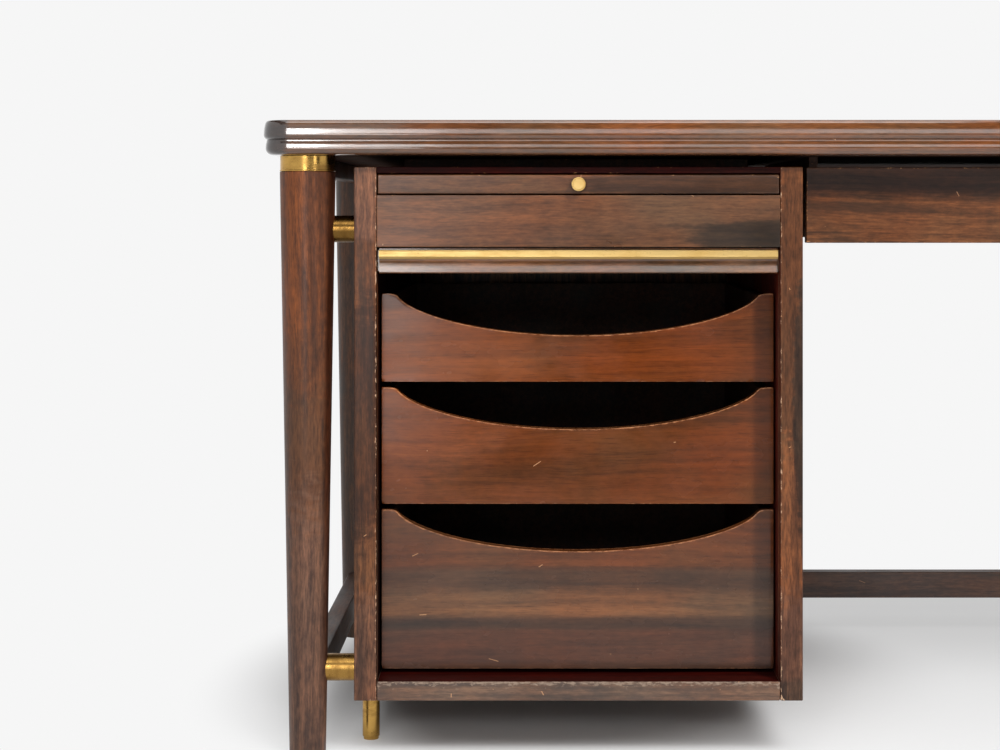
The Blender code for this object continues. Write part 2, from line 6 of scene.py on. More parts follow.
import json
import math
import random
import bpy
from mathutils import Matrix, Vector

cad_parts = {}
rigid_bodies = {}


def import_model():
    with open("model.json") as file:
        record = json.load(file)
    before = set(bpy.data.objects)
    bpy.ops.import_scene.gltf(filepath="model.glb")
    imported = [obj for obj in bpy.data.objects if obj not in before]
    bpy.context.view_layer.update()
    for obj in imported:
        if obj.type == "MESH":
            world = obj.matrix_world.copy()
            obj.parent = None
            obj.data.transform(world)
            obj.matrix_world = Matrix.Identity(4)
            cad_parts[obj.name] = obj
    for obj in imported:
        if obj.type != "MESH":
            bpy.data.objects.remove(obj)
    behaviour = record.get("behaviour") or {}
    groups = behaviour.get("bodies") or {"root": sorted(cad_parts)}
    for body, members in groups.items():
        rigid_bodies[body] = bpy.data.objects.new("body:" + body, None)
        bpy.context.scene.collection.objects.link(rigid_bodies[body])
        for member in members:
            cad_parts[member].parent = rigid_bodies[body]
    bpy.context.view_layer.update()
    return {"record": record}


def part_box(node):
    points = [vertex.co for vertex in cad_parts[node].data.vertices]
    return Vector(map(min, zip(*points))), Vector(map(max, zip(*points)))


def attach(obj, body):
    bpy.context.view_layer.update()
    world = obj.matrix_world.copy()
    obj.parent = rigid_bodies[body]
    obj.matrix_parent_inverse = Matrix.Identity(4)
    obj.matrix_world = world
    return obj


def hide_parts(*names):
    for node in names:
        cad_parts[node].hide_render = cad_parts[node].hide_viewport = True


bl_info = {
    "name": "Tambour desk",
    "version": (1, 0, 0),
    "blender": (4, 5, 0),
    "location": "View3D > Sidebar > Desk",
    "description": "Builds a lacquered desk with a tambour, scooped drawers and brass fittings",
    "category": "Object",
}

from collections import namedtuple
from types import SimpleNamespace

import bmesh
import bpy
from bpy.props import FloatProperty, FloatVectorProperty, IntProperty, PointerProperty
from mathutils import Vector

for leftover in list(bpy.data.objects):
    bpy.data.objects.remove(leftover, do_unlink=True)
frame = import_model()

BODY_OF = {node: body for body, nodes in frame["record"]["behaviour"]["bodies"].items() for node in nodes}
AXES = "xyz"
QUARTER = math.pi / 2
SHARP_ANGLE = math.radians(48)
ROUND_STEPS = 3
TURNED_STEPS = 72
PATH_STEPS = 24
CLEARANCE = 0.0003
# Flat strip beside a rounded corner, as a share of the corner's reach, so that the next face shades evenly.
FLAT_GUARD = 0.15
# Face of the edge moulding from the top down, as rows of (share of the lobe's height, lean in degrees).
UPPER_LOBE = ((0, 84), (0.035, 52), (0.11, 24), (0.20, 14), (0.40, 9), (0.46, 6), (0.74, 1.5), (0.81, -15),
              (0.90, -40), (0.985, -60))
LOWER_LOBE = ((0.01, 50), (0.05, 4), (0.09, 2), (0.14, 16), (0.22, 14), (0.31, 6), (0.53, 1.5), (0.61, -10),
              (0.75, -28), (0.89, -52), (0.97, -74), (1, -84))
LEAN_STEPS = 4
# Leans in degrees down the cove of the tambour's lead rail.
COVE_LEANS = (1, 2.5, 4.5, 6.5, 7.5, 7.5)
# Softness of the shoulders beside a drawer front's dip, and how full the dip is.
SHOULDER = 0.02
SCOOP_FULLNESS = 0.6
# One ragged patch of another colour on the lacquer, some of which paint shade and reflection, and the scratches
# that are scattered over it.
Patch = namedtuple("Patch", "centre reach ragged strength colour")
Scratches = namedtuple("Scratches", "cells longest half_width share")
FINE_SCRATCHES = Scratches(cells=13.0, longest=0.006, half_width=0.0004, share=0.30)
SHORT_SCRATCHES = Scratches(cells=45.0, longest=0.003, half_width=0.0005, share=0.2)


class DeskShape(bpy.types.PropertyGroup):
    """Sizes of the finish that the solids leave plain."""
    edge: FloatProperty(name="Board edge", description="Radius of the boards' rounded edges",
                        default=0.0013, min=0.0002, max=0.005, unit="LENGTH")
    margin: FloatProperty(name="Worn margin", description="Width of the wear along an edge",
                          default=0.004, min=0.001, max=0.02, unit="LENGTH")
    tenon: FloatProperty(name="Tenon", description="How far rails and rods go into the legs",
                         default=0.004, min=0.0, max=0.01, unit="LENGTH")
    notch: FloatProperty(name="Notch", description="Height of the notch in the edge moulding below the top",
                         default=0.0229, min=0.015, max=0.03, unit="LENGTH")
    sag: FloatProperty(name="Scoop", description="Depth of the dip in a drawer front",
                       default=0.051, min=0.02, max=0.08, unit="LENGTH")
    ear: FloatProperty(name="Ear", description="Width of the flat ear beside the dip",
                       default=0.018, min=0.005, max=0.05, unit="LENGTH")
    wall: FloatProperty(name="Drawer wall", description="Thickness of a drawer's sides",
                        default=0.010, min=0.006, max=0.02, unit="LENGTH")
    slats: IntProperty(name="Slats", description="Slats of the curtain's flat run", default=28, min=4)
    bend_slats: IntProperty(name="Bend slats", description="Slats on the bend", default=3, min=2)
    slat_gap: FloatProperty(name="Slat gap", description="Gap between two slats",
                            default=0.0012, min=0.0002, max=0.004, unit="LENGTH")


class DeskFinish(bpy.types.PropertyGroup):
    """Colours of the lacquers and metals."""
    frame_wood: FloatVectorProperty(name="Frame", description="Lacquer of legs, rails and case",
                                    default=(0.098, 0.037, 0.015), subtype="COLOR", min=0, max=1)
    drawer_wood: FloatVectorProperty(name="Drawers", description="Redder lacquer of the drawer fronts",
                                     default=(0.118, 0.029, 0.006), subtype="COLOR", min=0, max=1)
    edge_wood: FloatVectorProperty(name="Moulding", description="Lacquer of the edge moulding",
                                   default=(0.126, 0.045, 0.0165), subtype="COLOR", min=0, max=1)
    inner_wood: FloatVectorProperty(name="Insides", description="Stain of drawer boxes and runners",
                                    default=(0.042, 0.016, 0.009), subtype="COLOR", min=0, max=1)
    stain: FloatVectorProperty(name="Stains", description="Dark stains in the lacquer",
                               default=(0.032, 0.023, 0.015), subtype="COLOR", min=0, max=1)
    worn: FloatVectorProperty(name="Worn edges", description="Bare wood where the lacquer is rubbed off",
                              default=(0.50, 0.24, 0.10), subtype="COLOR", min=0, max=1)
    # Dark red of the case's inner faces; dimmed, brightened and darkened copies of it paint shade and light on
    # the case, a leg and the kneehole front.
    shaded: FloatVectorProperty(name="Insides of the case", description="Dark red lacquer of inner faces",
                                default=(0.034, 0.0040, 0.0025), subtype="COLOR", min=0, max=1)
    brass: FloatVectorProperty(name="Brass", description="Bright brass",
                               default=(0.62, 0.38, 0.110), subtype="COLOR", min=0, max=1)
    tarnish: FloatVectorProperty(name="Tarnish", description="Brown patches on the brass",
                                 default=(0.22, 0.11, 0.03), subtype="COLOR", min=0, max=1)


class DeskStage(bpy.types.PropertyGroup):
    """Camera and studio light."""
    eye: FloatVectorProperty(name="Camera", description="Where the camera stands",
                             default=(-0.434, -2.69, 0.640), subtype="XYZ", unit="LENGTH")
    lens: FloatProperty(name="Lens", description="Focal length", default=71.55, unit="CAMERA")
    paper: FloatProperty(name="Background", description="Brightness of the pale background",
                         default=0.922, min=0, max=1, subtype="FACTOR")
    fill: FloatProperty(name="Fill", description="Light from all round", default=0.10, min=0, max=2)


def grain_order(code):
    """Axes along, across and through the grain, from a code such as xzy."""
    return [AXES.index(letter) for letter in code]


def edge_wear(point, low, high, radius, margin):
    """How worn a point of a board is: 1 on its rounded edges, 0 beyond the margin."""
    gaps = sorted(min(point[a] - low[a], high[a] - point[a]) for a in range(3))
    return max(0.0, 1 - max(0.0, gaps[1] - radius) / margin)


def start():
    """Empty mesh with a layer for wear."""
    bm = bmesh.new()
    bm.verts.layers.float.new("wear")
    return bm


def to_mesh(bm, name):
    """Mesh of what was built, with its faces pointing outwards."""
    bmesh.ops.recalc_face_normals(bm, faces=bm.faces)
    mesh = bpy.data.meshes.new(name)
    bm.to_mesh(mesh)
    bm.free()
    return mesh


def into_scene(name, data):
    """Object for a mesh, a lamp or the camera, linked to the scene."""
    made = bpy.data.objects.new(name, data)
    bpy.context.scene.collection.objects.link(made)
    return made


def edge_lines(low, high, radius, margin):
    """Grid lines across a board: its rounded edges, the worn margins and the flat between."""
    near = [radius * (1 - math.tan(math.pi / 4 * (1 - step / ROUND_STEPS))) for step in range(ROUND_STEPS + 1)]
    if high - low > 2.5 * (radius + margin):
        near.append(radius + margin)
    return [low + reach for reach in near] + [high - reach for reach in reversed(near)]


def plank(bm, low, high, radius=None):
    """Board between two corners with rounded edges and corners."""
    shape = bpy.context.scene.desk_shape
    low, high = Vector(low), Vector(high)
    thinnest = min(high - low)
    radius = min(shape.edge if radius is None else radius, 0.4 * thinnest)
    margin = min(shape.margin, 0.22 * thinnest)
    lines = [edge_lines(low[a], high[a], radius, margin) for a in range(3)]
    wear = bm.verts.layers.float["wear"]
    made = {}

    def corner(key):
        if key not in made:
            point = Vector([lines[a][key[a]] for a in range(3)])
            core = Vector([min(max(point[a], low[a] + radius), high[a] - radius) for a in range(3)])
            made[key] = bm.verts.new(core + (point - core).normalized() * radius)
            made[key][wear] = edge_wear(point, low, high, radius, margin)
        return made[key]

    for axis in range(3):
        first, second = (axis + 1) % 3, (axis + 2) % 3
        for end in (0, len(lines[axis]) - 1):
            for i in range(len(lines[first]) - 1):
                for j in range(len(lines[second]) - 1):
                    keys = []
                    for di, dj in ((0, 0), (1, 0), (1, 1), (0, 1)):
                        key = [end] * 3
                        key[first], key[second] = i + di, j + dj
                        keys.append(tuple(key))
                    bm.faces.new([corner(key) for key in (keys if end else reversed(keys))])


def fillet(points, radii, steps=4, closed=True):
    """Line of 2-D points with its corners rounded, each by its own radius."""
    rounded = []
    for index, point in enumerate(points):
        radius = radii[index] if isinstance(radii, (list, tuple)) else radii
        here = Vector(point)
        if not radius or (not closed and index in (0, len(points) - 1)):
            rounded.append(here)
            continue
        before = Vector(points[index - 1]) - here
        after = Vector(points[(index + 1) % len(points)]) - here
        reach = min(radius / math.tan(before.angle(after) / 2), 0.48 * before.length, 0.48 * after.length)
        first, last = here + before.normalized() * reach, here + after.normalized() * reach
        if reach < 0.4 * before.length:
            rounded.append(first + before.normalized() * reach * FLAT_GUARD)
        for step in range(steps + 1):
            t = step / steps
            rounded.append((1 - t) ** 2 * first + 2 * t * (1 - t) * here + t ** 2 * last)
        if reach < 0.4 * after.length:
            rounded.append(last + after.normalized() * reach * FLAT_GUARD)
    return rounded


def place_front(u, v, w):
    """Outline in the front plane, depth along Y."""
    return u, w, v


def place_side(u, v, w):
    """Outline in the side plane, depth along X."""
    return w, u, v


def place_up(u, v, w):
    """Outline in plan, depth along Z."""
    return u, v, w


def prism(bm, points, near, far, place, radius=0.0, margin=0.0, wear_level=1.0):
    """Outline carried between two depths, its rims rounded at the bends, with a worn margin on both faces."""
    wear = bm.verts.layers.float["wear"]
    rings = [[bm.verts.new(place(u, v, depth)) for u, v in points] for depth in (near, far)]
    pairs = list(zip(*rings))
    for (a, b), (c, d) in zip(pairs, pairs[1:] + pairs[:1]):
        bm.faces.new((a, c, d, b))
    caps = [bm.faces.new(ring) for ring in rings]
    for vert in rings[0] + rings[1]:
        vert[wear] = wear_level
    if not radius:
        return
    rims = list(dict.fromkeys(edge for cap in caps for edge in cap.edges))
    made = bmesh.ops.bevel(bm, geom=rims, offset=radius, segments=ROUND_STEPS, profile=0.5, affect="EDGES")
    for vert in made["verts"]:
        vert[wear] = wear_level
    if margin:
        bmesh.ops.recalc_face_normals(bm, faces=bm.faces)
        caps = [face for face in bm.faces if len(face.verts) == len(points)]
        bmesh.ops.inset_individual(bm, faces=caps, thickness=margin, use_even_offset=True)
        for cap in caps:
            for vert in cap.verts:
                vert[wear] = 0.0


def turned(bm, profile, centre, axis, closed=False, worn_to=None):
    """Profile of (radius, height) points spun about an axis through a centre."""
    wear = bm.verts.layers.float["wear"]
    along = AXES.index(axis)
    first, second = (along + 1) % 3, (along + 2) % 3
    rings = []
    for radius, height in profile:
        ring = []
        for step in range(TURNED_STEPS if radius > 1e-7 else 1):
            angle = 2 * math.pi * step / TURNED_STEPS
            point = Vector(centre)
            point[along] += height
            point[first] += radius * math.cos(angle)
            point[second] += radius * math.sin(angle)
            vert = bm.verts.new(point)
            vert[wear] = 1.0 if worn_to and height < worn_to else 0.0
            ring.append(vert)
        rings.append(ring)
    for lower, upper in zip(rings, rings[1:] + (rings[:1] if closed else [])):
        for step in range(TURNED_STEPS):
            after = (step + 1) % TURNED_STEPS
            corners = [lower[step % len(lower)], lower[after % len(lower)],
                       upper[after % len(upper)], upper[step % len(upper)]]
            distinct = list(dict.fromkeys(corners))
            if len(distinct) > 2:
                bm.faces.new(distinct)


def lay_grain(mesh, code, key):
    """Store each point's place in the grain: along, across and through it, moved on for each piece."""
    order = grain_order(code)
    chance = random.Random(key)
    shift = [chance.uniform(-5, 5) for _ in range(3)]
    values = []
    for vertex in mesh.vertices:
        values.extend(vertex.co[axis] + shift[n] for n, axis in enumerate(order))
    layer = mesh.attributes.new("grain", "FLOAT_VECTOR", "POINT")
    layer.data.foreach_set("vector", values)


def add_piece(name, mesh, finish, body):
    """Smooth-shaded piece of the desk that rides on a body."""
    mesh.shade_smooth()
    mesh.set_sharp_from_angle(angle=SHARP_ANGLE)
    mesh.materials.clear()
    mesh.materials.append(bpy.data.materials[finish])
    piece = into_scene(name, mesh)
    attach(piece, body)
    return piece


def finish_node(node, bm, finish, grain):
    """Turn a built mesh into the piece that stands for a solid."""
    name = f"finished_{node}"
    mesh = to_mesh(bm, name)
    if "grain" not in mesh.attributes:
        lay_grain(mesh, grain, name)
    piece = add_piece(name, mesh, finish, BODY_OF[node])
    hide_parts(node)
    return piece


def face_finish(piece, finish, direction):
    """Give the faces that look one way another finish."""
    piece.data.materials.append(bpy.data.materials[finish])
    for face in piece.data.polygons:
        if face.normal.dot(Vector(direction)) > 0.9:
            face.material_index = 1


def board(node, finish, grain, radius=None, reach=(0, 0, 0), rubbed=None):
    """Rounded board that stands for a box-shaped solid, with its ends let into the neighbours."""
    low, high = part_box(node)
    bm = start()
    plank(bm, low - Vector(reach), high + Vector(reach), radius)
    if rubbed:
        wear = bm.verts.layers.float["wear"]
        for vert in bm.verts:
            vert[wear] = rubbed(vert.co, vert[wear])
    return finish_node(node, bm, finish, grain)


class Graph:
    """Short way to wire one node tree."""

    def __init__(self, tree):
        self.tree = tree

    def put(self, socket, value):
        """Set a socket, or link it where the value is another socket."""
        if isinstance(value, bpy.types.NodeSocket):
            self.tree.links.new(value, socket)
        else:
            socket.default_value = value

    def add(self, kind, inputs=(), out=0, **settings):
        """Add a node with its settings and inputs, and return one of its outputs."""
        made = self.tree.nodes.new(kind)
        for key, value in settings.items():
            setattr(made, key, value)
        for key, value in dict(inputs).items():
            self.put(made.inputs[key], value)
        return made.outputs[out]

    def math(self, operation, first, second=0.5):
        return self.add("ShaderNodeMath", {0: first, 1: second}, operation=operation)

    def vector(self, operation, first, second):
        return self.add("ShaderNodeVectorMath", {0: first, 1: second}, operation=operation)

    def total(self, *parts):
        """Sum of (value, weight) pairs."""
        weighed = [self.math("MULTIPLY", value, weight) for value, weight in parts]
        summed = weighed[0]
        for value in weighed[1:]:
            summed = self.math("ADD", summed, value)
        return summed

    def noise(self, vector, scale, detail=3.0, rough=0.55):
        """Noise on a vector that is scaled along each axis first."""
        scaled = self.vector("MULTIPLY", vector, scale)
        return self.add("ShaderNodeTexNoise", {"Vector": scaled, "Scale": 1.0, "Detail": detail,
                                               "Roughness": rough}, out="Fac")

    def spread(self, value, low, high, to_low=0.0, to_high=1.0):
        """Smooth step of a value from one range to another."""
        return self.add("ShaderNodeMapRange", {0: value, 1: low, 2: high, 3: to_low, 4: to_high},
                        interpolation_type="SMOOTHSTEP")

    def mix(self, factor, first, second, blend="MIX"):
        return self.add("ShaderNodeMix", {0: factor, 6: first, 7: second}, out=2, data_type="RGBA",
                        blend_type=blend)

    def ramp(self, value, stops):
        """Colour ramp through (place, colour) stops."""
        made = self.tree.nodes.new("ShaderNodeValToRGB")
        for _ in stops[2:]:
            made.color_ramp.elements.new(0.5)
        for element, (place, colour) in zip(made.color_ramp.elements, stops):
            element.position = place
            element.color = colour
        self.put(made.inputs[0], value)
        return made.outputs[0]


def new_material(name):
    """Material with its graph and its Principled shader."""
    material = bpy.data.materials.new(name)
    material.use_nodes = True
    graph = Graph(material.node_tree)
    return graph, material.node_tree.nodes["Principled BSDF"]


def shade(colour, red=1.0, green=1.0, blue=1.0):
    """Colour with each channel scaled, as four numbers."""
    return (colour[0] * red, colour[1] * green, colour[2] * blue, 1.0)


def scratches(graph, grain, cells, longest, half_width, share):
    """Mask of short straight scratches, at most one in each cell of the grain's plane."""
    parts = graph.add("ShaderNodeSeparateXYZ", {0: grain}).node.outputs
    grain = graph.add("ShaderNodeCombineXYZ", {0: parts[0], 1: graph.math("ADD", parts[1], parts[2])})
    cell = graph.tree.nodes.new("ShaderNodeTexVoronoi")
    cell.voronoi_dimensions = "2D"
    graph.put(cell.inputs["Vector"], grain)
    cell.inputs["Scale"].default_value = cells
    offset = graph.vector("SUBTRACT", grain, cell.outputs["Position"])
    chance = graph.add("ShaderNodeSeparateColor", {0: cell.outputs["Color"]}, out=0)
    picks = chance.node.outputs
    turn = graph.math("MULTIPLY", picks[0], math.pi)
    spun = graph.add("ShaderNodeVectorRotate", {"Vector": offset, "Angle": turn}, rotation_type="Z_AXIS")
    parts = graph.add("ShaderNodeSeparateXYZ", {0: spun}).node.outputs
    length = graph.math("MULTIPLY", picks[1], longest)
    inside = graph.math("LESS_THAN", graph.math("ABSOLUTE", parts[0]), length)
    narrow = graph.math("LESS_THAN", graph.math("ABSOLUTE", parts[1]), half_width)
    chosen = graph.math("LESS_THAN", picks[2], share)
    return graph.math("MULTIPLY", graph.math("MULTIPLY", inside, narrow), chosen)


def ellipse_distance(graph, place, centre, reach):
    """Distance from a centre, with each axis measured in its own reach."""
    scaled = graph.vector("DIVIDE", graph.vector("SUBTRACT", place, centre), reach)
    return graph.add("ShaderNodeVectorMath", {0: scaled}, out="Value", operation="LENGTH")


def patch_mask(graph, patch):
    """Mask of one ragged patch about its centre in the piece's own space."""
    place = graph.add("ShaderNodeTexCoord", out="Object")
    distance = ellipse_distance(graph, place, patch.centre, patch.reach)
    rough = graph.noise(place, (45, 45, 130), 4)
    torn = graph.math("MULTIPLY", graph.math("SUBTRACT", rough, 0.5), patch.ragged)
    inside = graph.spread(graph.math("ADD", distance, torn), 0.75, 1.05, 1.0, 0.0)
    return graph.math("MULTIPLY", inside, patch.strength)


def wood_figure(graph, grain, contrast):
    """Grain with a slow sway, its streaks, pores and clouds, and the strength of the whole figure."""
    sway = graph.noise(grain, (1.7, 6, 6), 2)
    bend = graph.add("ShaderNodeCombineXYZ", {1: graph.math("MULTIPLY", sway, 0.045)})
    bent = graph.vector("ADD", grain, bend)
    bands = graph.noise(bent, (1.6, 18, 18))
    streaks = graph.noise(bent, (4.5, 120, 120), rough=0.6)
    pores = graph.noise(bent, (40, 800, 800), 1)
    cloud = graph.noise(grain, (9, 13, 13), 4, 0.6)
    mottle = graph.noise(grain, (85, 190, 190), rough=0.65)
    tone = graph.total((bands, 0.30), (streaks, 0.36), (cloud, 0.18), (mottle, 0.16))
    middle, half_range = 0.505, 0.115 / contrast
    strength = graph.spread(tone, middle - half_range, middle + half_range)
    return SimpleNamespace(sway=sway, bent=bent, streaks=streaks, pores=pores, cloud=cloud, strength=strength)


def grain_ramp(graph, strength, colour, dark):
    """Colour that follows the figure, from dark streaks to pale ones."""
    return graph.ramp(strength, [(0.0, shade(colour, *dark)), (0.5, shade(colour)),
                                 (1.0, shade(colour, 1.5, 1.48, 1.4))])


def strip_tint(graph, sway, strips, strip_range):
    """Tint that changes from strip to strip up a glued front, along slightly wavy joints."""
    place = graph.add("ShaderNodeTexCoord", out="Object")
    height = graph.add("ShaderNodeSeparateXYZ", {0: place}, out=2)
    wobble = graph.math("MULTIPLY", graph.math("SUBTRACT", sway, 0.5), 0.012)
    level = graph.add("ShaderNodeMapRange", {0: graph.math("ADD", height, wobble), 1: strip_range[0],
                                             2: strip_range[1]})
    return graph.ramp(level, strips)


def lacquer(name, wood, roughness, coat=0.2, worn_from=0.60, sheen=0.4, stained=0.6, contrast=1.0, strips=(),
            strip_range=(0, 1), patches=(), marked=FINE_SCRATCHES, bare=None, feather=0.10, flecked=0.6):
    """Dark stained and lacquered wood with mottled grain, stains, scratches and rubbed edges."""
    finish = bpy.context.scene.desk_finish
    graph, shader = new_material(name)
    grain = graph.add("ShaderNodeAttribute", out="Vector", attribute_name="grain")
    worn = graph.add("ShaderNodeAttribute", out="Fac", attribute_name="wear")
    figure = wood_figure(graph, grain, contrast)
    colour = grain_ramp(graph, figure.strength, wood, (0.48, 0.55, 0.68))
    hue = graph.noise(graph.vector("ADD", grain, (3.1, 1.7, 2.3)), (6, 11, 11))
    tint = graph.ramp(hue, [(0.36, (0.84, 1.02, 1.15, 1)), (0.64, (1.11, 0.99, 0.84, 1))])
    colour = graph.mix(1.0, colour, tint, "MULTIPLY")
    if strips:
        colour = graph.mix(1.0, colour, strip_tint(graph, figure.sway, strips, strip_range), "MULTIPLY")
    smear = graph.noise(grain, (3.2, 14, 14), 4, 0.6)
    stain = graph.spread(smear, 0.52, 0.72, 0.0, stained)
    colour = graph.mix(stain, colour, shade(finish.stain))
    for patch in patches:
        patched = grain_ramp(graph, figure.strength, patch.colour, (0.55, 0.55, 0.6))
        colour = graph.mix(patch_mask(graph, patch), colour, patched)
    flecks = graph.noise(figure.bent, (60, 380, 380), rough=0.7)
    flecking = graph.ramp(flecks, [(0.34, (0.64, 0.64, 0.66, 1)), (0.66, (1.38, 1.36, 1.32, 1))])
    colour = graph.mix(flecked, colour, flecking, "MULTIPLY")
    pitted = graph.spread(figure.pores, 0.56, 0.72, 0.0, 0.4)
    colour = graph.mix(pitted, colour, shade(wood, 0.25, 0.25, 0.3))
    chips = graph.noise(grain, (160, 420, 420), 4, 0.7)
    rubbed = graph.spread(graph.math("MULTIPLY", worn, chips), worn_from, worn_from + feather, 0.0, 0.9)
    colour = graph.mix(rubbed, colour, shade(bare or finish.worn))
    marks = graph.math("MULTIPLY", scratches(graph, grain, *marked), 0.65)
    colour = graph.mix(marks, colour, shade(finish.worn, 1.3, 1.4, 1.6))
    graph.put(shader.inputs["Base Color"], colour)
    haze = graph.spread(figure.cloud, 0.30, 0.72, roughness - 0.05, roughness + 0.10)
    graph.put(shader.inputs["Roughness"], graph.math("ADD", haze, graph.math("MULTIPLY", rubbed, 0.20)))
    height = graph.total((figure.streaks, 0.7), (figure.pores, 0.3), (rubbed, -0.5))
    bump = graph.add("ShaderNodeBump", {"Strength": 0.22, "Distance": 0.0004, "Height": height})
    graph.put(shader.inputs["Normal"], bump)
    shader.inputs["Specular IOR Level"].default_value = sheen
    shader.inputs["Coat Weight"].default_value = coat
    shader.inputs["Coat Roughness"].default_value = 0.5 * roughness


def metal(name, bright, dull, roughness):
    """Drawn or turned metal with fine lines and dull patches."""
    graph, shader = new_material(name)
    grain = graph.add("ShaderNodeAttribute", out="Vector", attribute_name="grain")
    lines = graph.noise(grain, (9, 1500, 9), rough=0.7)
    patches = graph.noise(grain, (26, 60, 40), 4, 0.65)
    specks = graph.noise(grain, (300, 380, 300), 2)
    dullness = graph.spread(patches, 0.42, 0.72, 0.0, 0.6)
    colour = graph.mix(dullness, shade(bright), shade(dull))
    colour = graph.mix(graph.spread(specks, 0.66, 0.74, 0.0, 0.5), colour, shade(dull, 0.5, 0.45, 0.4))
    graph.put(shader.inputs["Base Color"], colour)
    rough = graph.math("ADD", graph.spread(patches, 0.35, 0.7, roughness, roughness + 0.16),
                       graph.math("MULTIPLY", lines, 0.08))
    graph.put(shader.inputs["Roughness"], rough)
    bump = graph.add("ShaderNodeBump", {"Strength": 0.10, "Distance": 0.0002, "Height": lines})
    graph.put(shader.inputs["Normal"], bump)
    shader.inputs["Metallic"].default_value = 1.0


def canvas_cloth(name):
    """Woven canvas that carries the slats."""
    graph, shader = new_material(name)
    grain = graph.add("ShaderNodeAttribute", out="Vector", attribute_name="grain")
    thread = {"Vector": grain, "Scale": 260.0, "Distortion": 0.6, "Detail": 1.0}
    warp, weft = (graph.add("ShaderNodeTexWave", thread, out="Fac", bands_direction=axis) for axis in "XY")
    weave = graph.math("MULTIPLY", warp, weft)
    soil = graph.noise(grain, (12, 12, 12))
    colour = graph.mix(weave, (0.020, 0.015, 0.011, 1), (0.070, 0.054, 0.038, 1))
    colour = graph.mix(graph.spread(soil, 0.45, 0.7, 0.0, 0.5), colour, (0.024, 0.019, 0.015, 1))
    graph.put(shader.inputs["Base Color"], colour)
    graph.put(shader.inputs["Roughness"], graph.spread(weave, 0.0, 1.0, 0.95, 0.8))
    bump = graph.add("ShaderNodeBump", {"Strength": 0.5, "Distance": 0.0004, "Height": weave})
    graph.put(shader.inputs["Normal"], bump)


def grow(tree, mesh, values):
    """Run a node tree on a mesh and return the result as a plain mesh."""
    carrier = into_scene("growing", mesh)
    modifier = carrier.modifiers.new("grow", "NODES")
    modifier.node_group = tree
    for item in tree.interface.items_tree:
        if item.in_out == "INPUT" and item.name in values:
            modifier[item.identifier] = values[item.name]
    bpy.context.view_layer.update()
    evaluated = carrier.evaluated_get(bpy.context.evaluated_depsgraph_get())
    result = bpy.data.meshes.new_from_object(evaluated)
    carrier.modifiers.remove(modifier)
    bpy.data.objects.remove(carrier, do_unlink=True)
    if not result.polygons:
        raise RuntimeError(f"the node tree {tree.name} made no faces")
    return result


def open_tree(name, sockets):
    """Geometry node tree with named inputs, and its graph, input and output nodes."""
    tree = bpy.data.node_groups.new(name, "GeometryNodeTree")
    for label, kind in sockets:
        tree.interface.new_socket(label, in_out="INPUT", socket_type=f"NodeSocket{kind}")
    tree.interface.new_socket("Geometry", in_out="OUTPUT", socket_type="NodeSocketGeometry")
    given = tree.nodes.new("NodeGroupInput").outputs
    return tree, Graph(tree), given, tree.nodes.new("NodeGroupOutput").inputs


def slat_tree():
    """Slats laid side by side along a path in the side plane."""
    tree, graph, given, result = open_tree("tambour_slats", (
        ("Path", "Geometry"), ("Slats", "Int"), ("Length", "Float"), ("Width", "Float"),
        ("Thickness", "Float"), ("Rounding", "Float"), ("Finish", "Material")))
    path = graph.add("GeometryNodeMeshToCurve", {0: given["Path"]})
    stops = graph.add("GeometryNodeResampleCurve", {"Curve": path, "Count": given["Slats"]}, mode="COUNT")
    section = graph.add("GeometryNodeCurvePrimitiveQuadrilateral",
                        {"Width": given["Thickness"], "Height": given["Width"]}, mode="RECTANGLE")
    section = graph.add("GeometryNodeFilletCurve", {"Curve": section, "Count": 3, "Radius": given["Rounding"],
                                                    "Limit Radius": True}, mode="POLY")
    half = graph.math("MULTIPLY", given["Length"], 0.5)
    ends = [graph.add("ShaderNodeCombineXYZ", {0: end}) for end in (graph.math("MULTIPLY", half, -1.0), half)]
    line = graph.add("GeometryNodeCurvePrimitiveLine", {"Start": ends[0], "End": ends[1]})
    slat = graph.add("GeometryNodeCurveToMesh", {"Curve": line, "Profile Curve": section, "Fill Caps": True})
    tangent = graph.add("ShaderNodeSeparateXYZ", {0: graph.add("GeometryNodeInputTangent")}).node.outputs
    turn = graph.add("ShaderNodeCombineXYZ", {0: graph.math("ARCTAN2", tangent[2], tangent[1])})
    laid = graph.add("GeometryNodeInstanceOnPoints", {"Points": stops, "Instance": slat, "Rotation": turn})
    # Each slat is cut from its own stretch of wood, so its grain is shifted by its number.
    index = graph.add("GeometryNodeInputIndex")
    along = graph.math("MULTIPLY", index, 0.731)
    shift = graph.add("ShaderNodeCombineXYZ", {0: along, 1: graph.math("MULTIPLY", index, 0.113)})
    laid = graph.add("GeometryNodeStoreNamedAttribute", {"Geometry": laid, "Name": "shift", "Value": shift},
                     data_type="FLOAT_VECTOR", domain="INSTANCE")
    solid = graph.add("GeometryNodeRealizeInstances", {0: laid})
    moved = graph.add("GeometryNodeInputNamedAttribute", {"Name": "shift"}, data_type="FLOAT_VECTOR")
    grain = graph.vector("ADD", graph.add("GeometryNodeInputPosition"), moved)
    solid = graph.add("GeometryNodeStoreNamedAttribute", {"Geometry": solid, "Name": "grain", "Value": grain},
                      data_type="FLOAT_VECTOR", domain="POINT")
    solid = graph.add("GeometryNodeSetMaterial", {"Geometry": solid, "Material": given["Finish"]})
    graph.put(result[0], solid)
    return tree


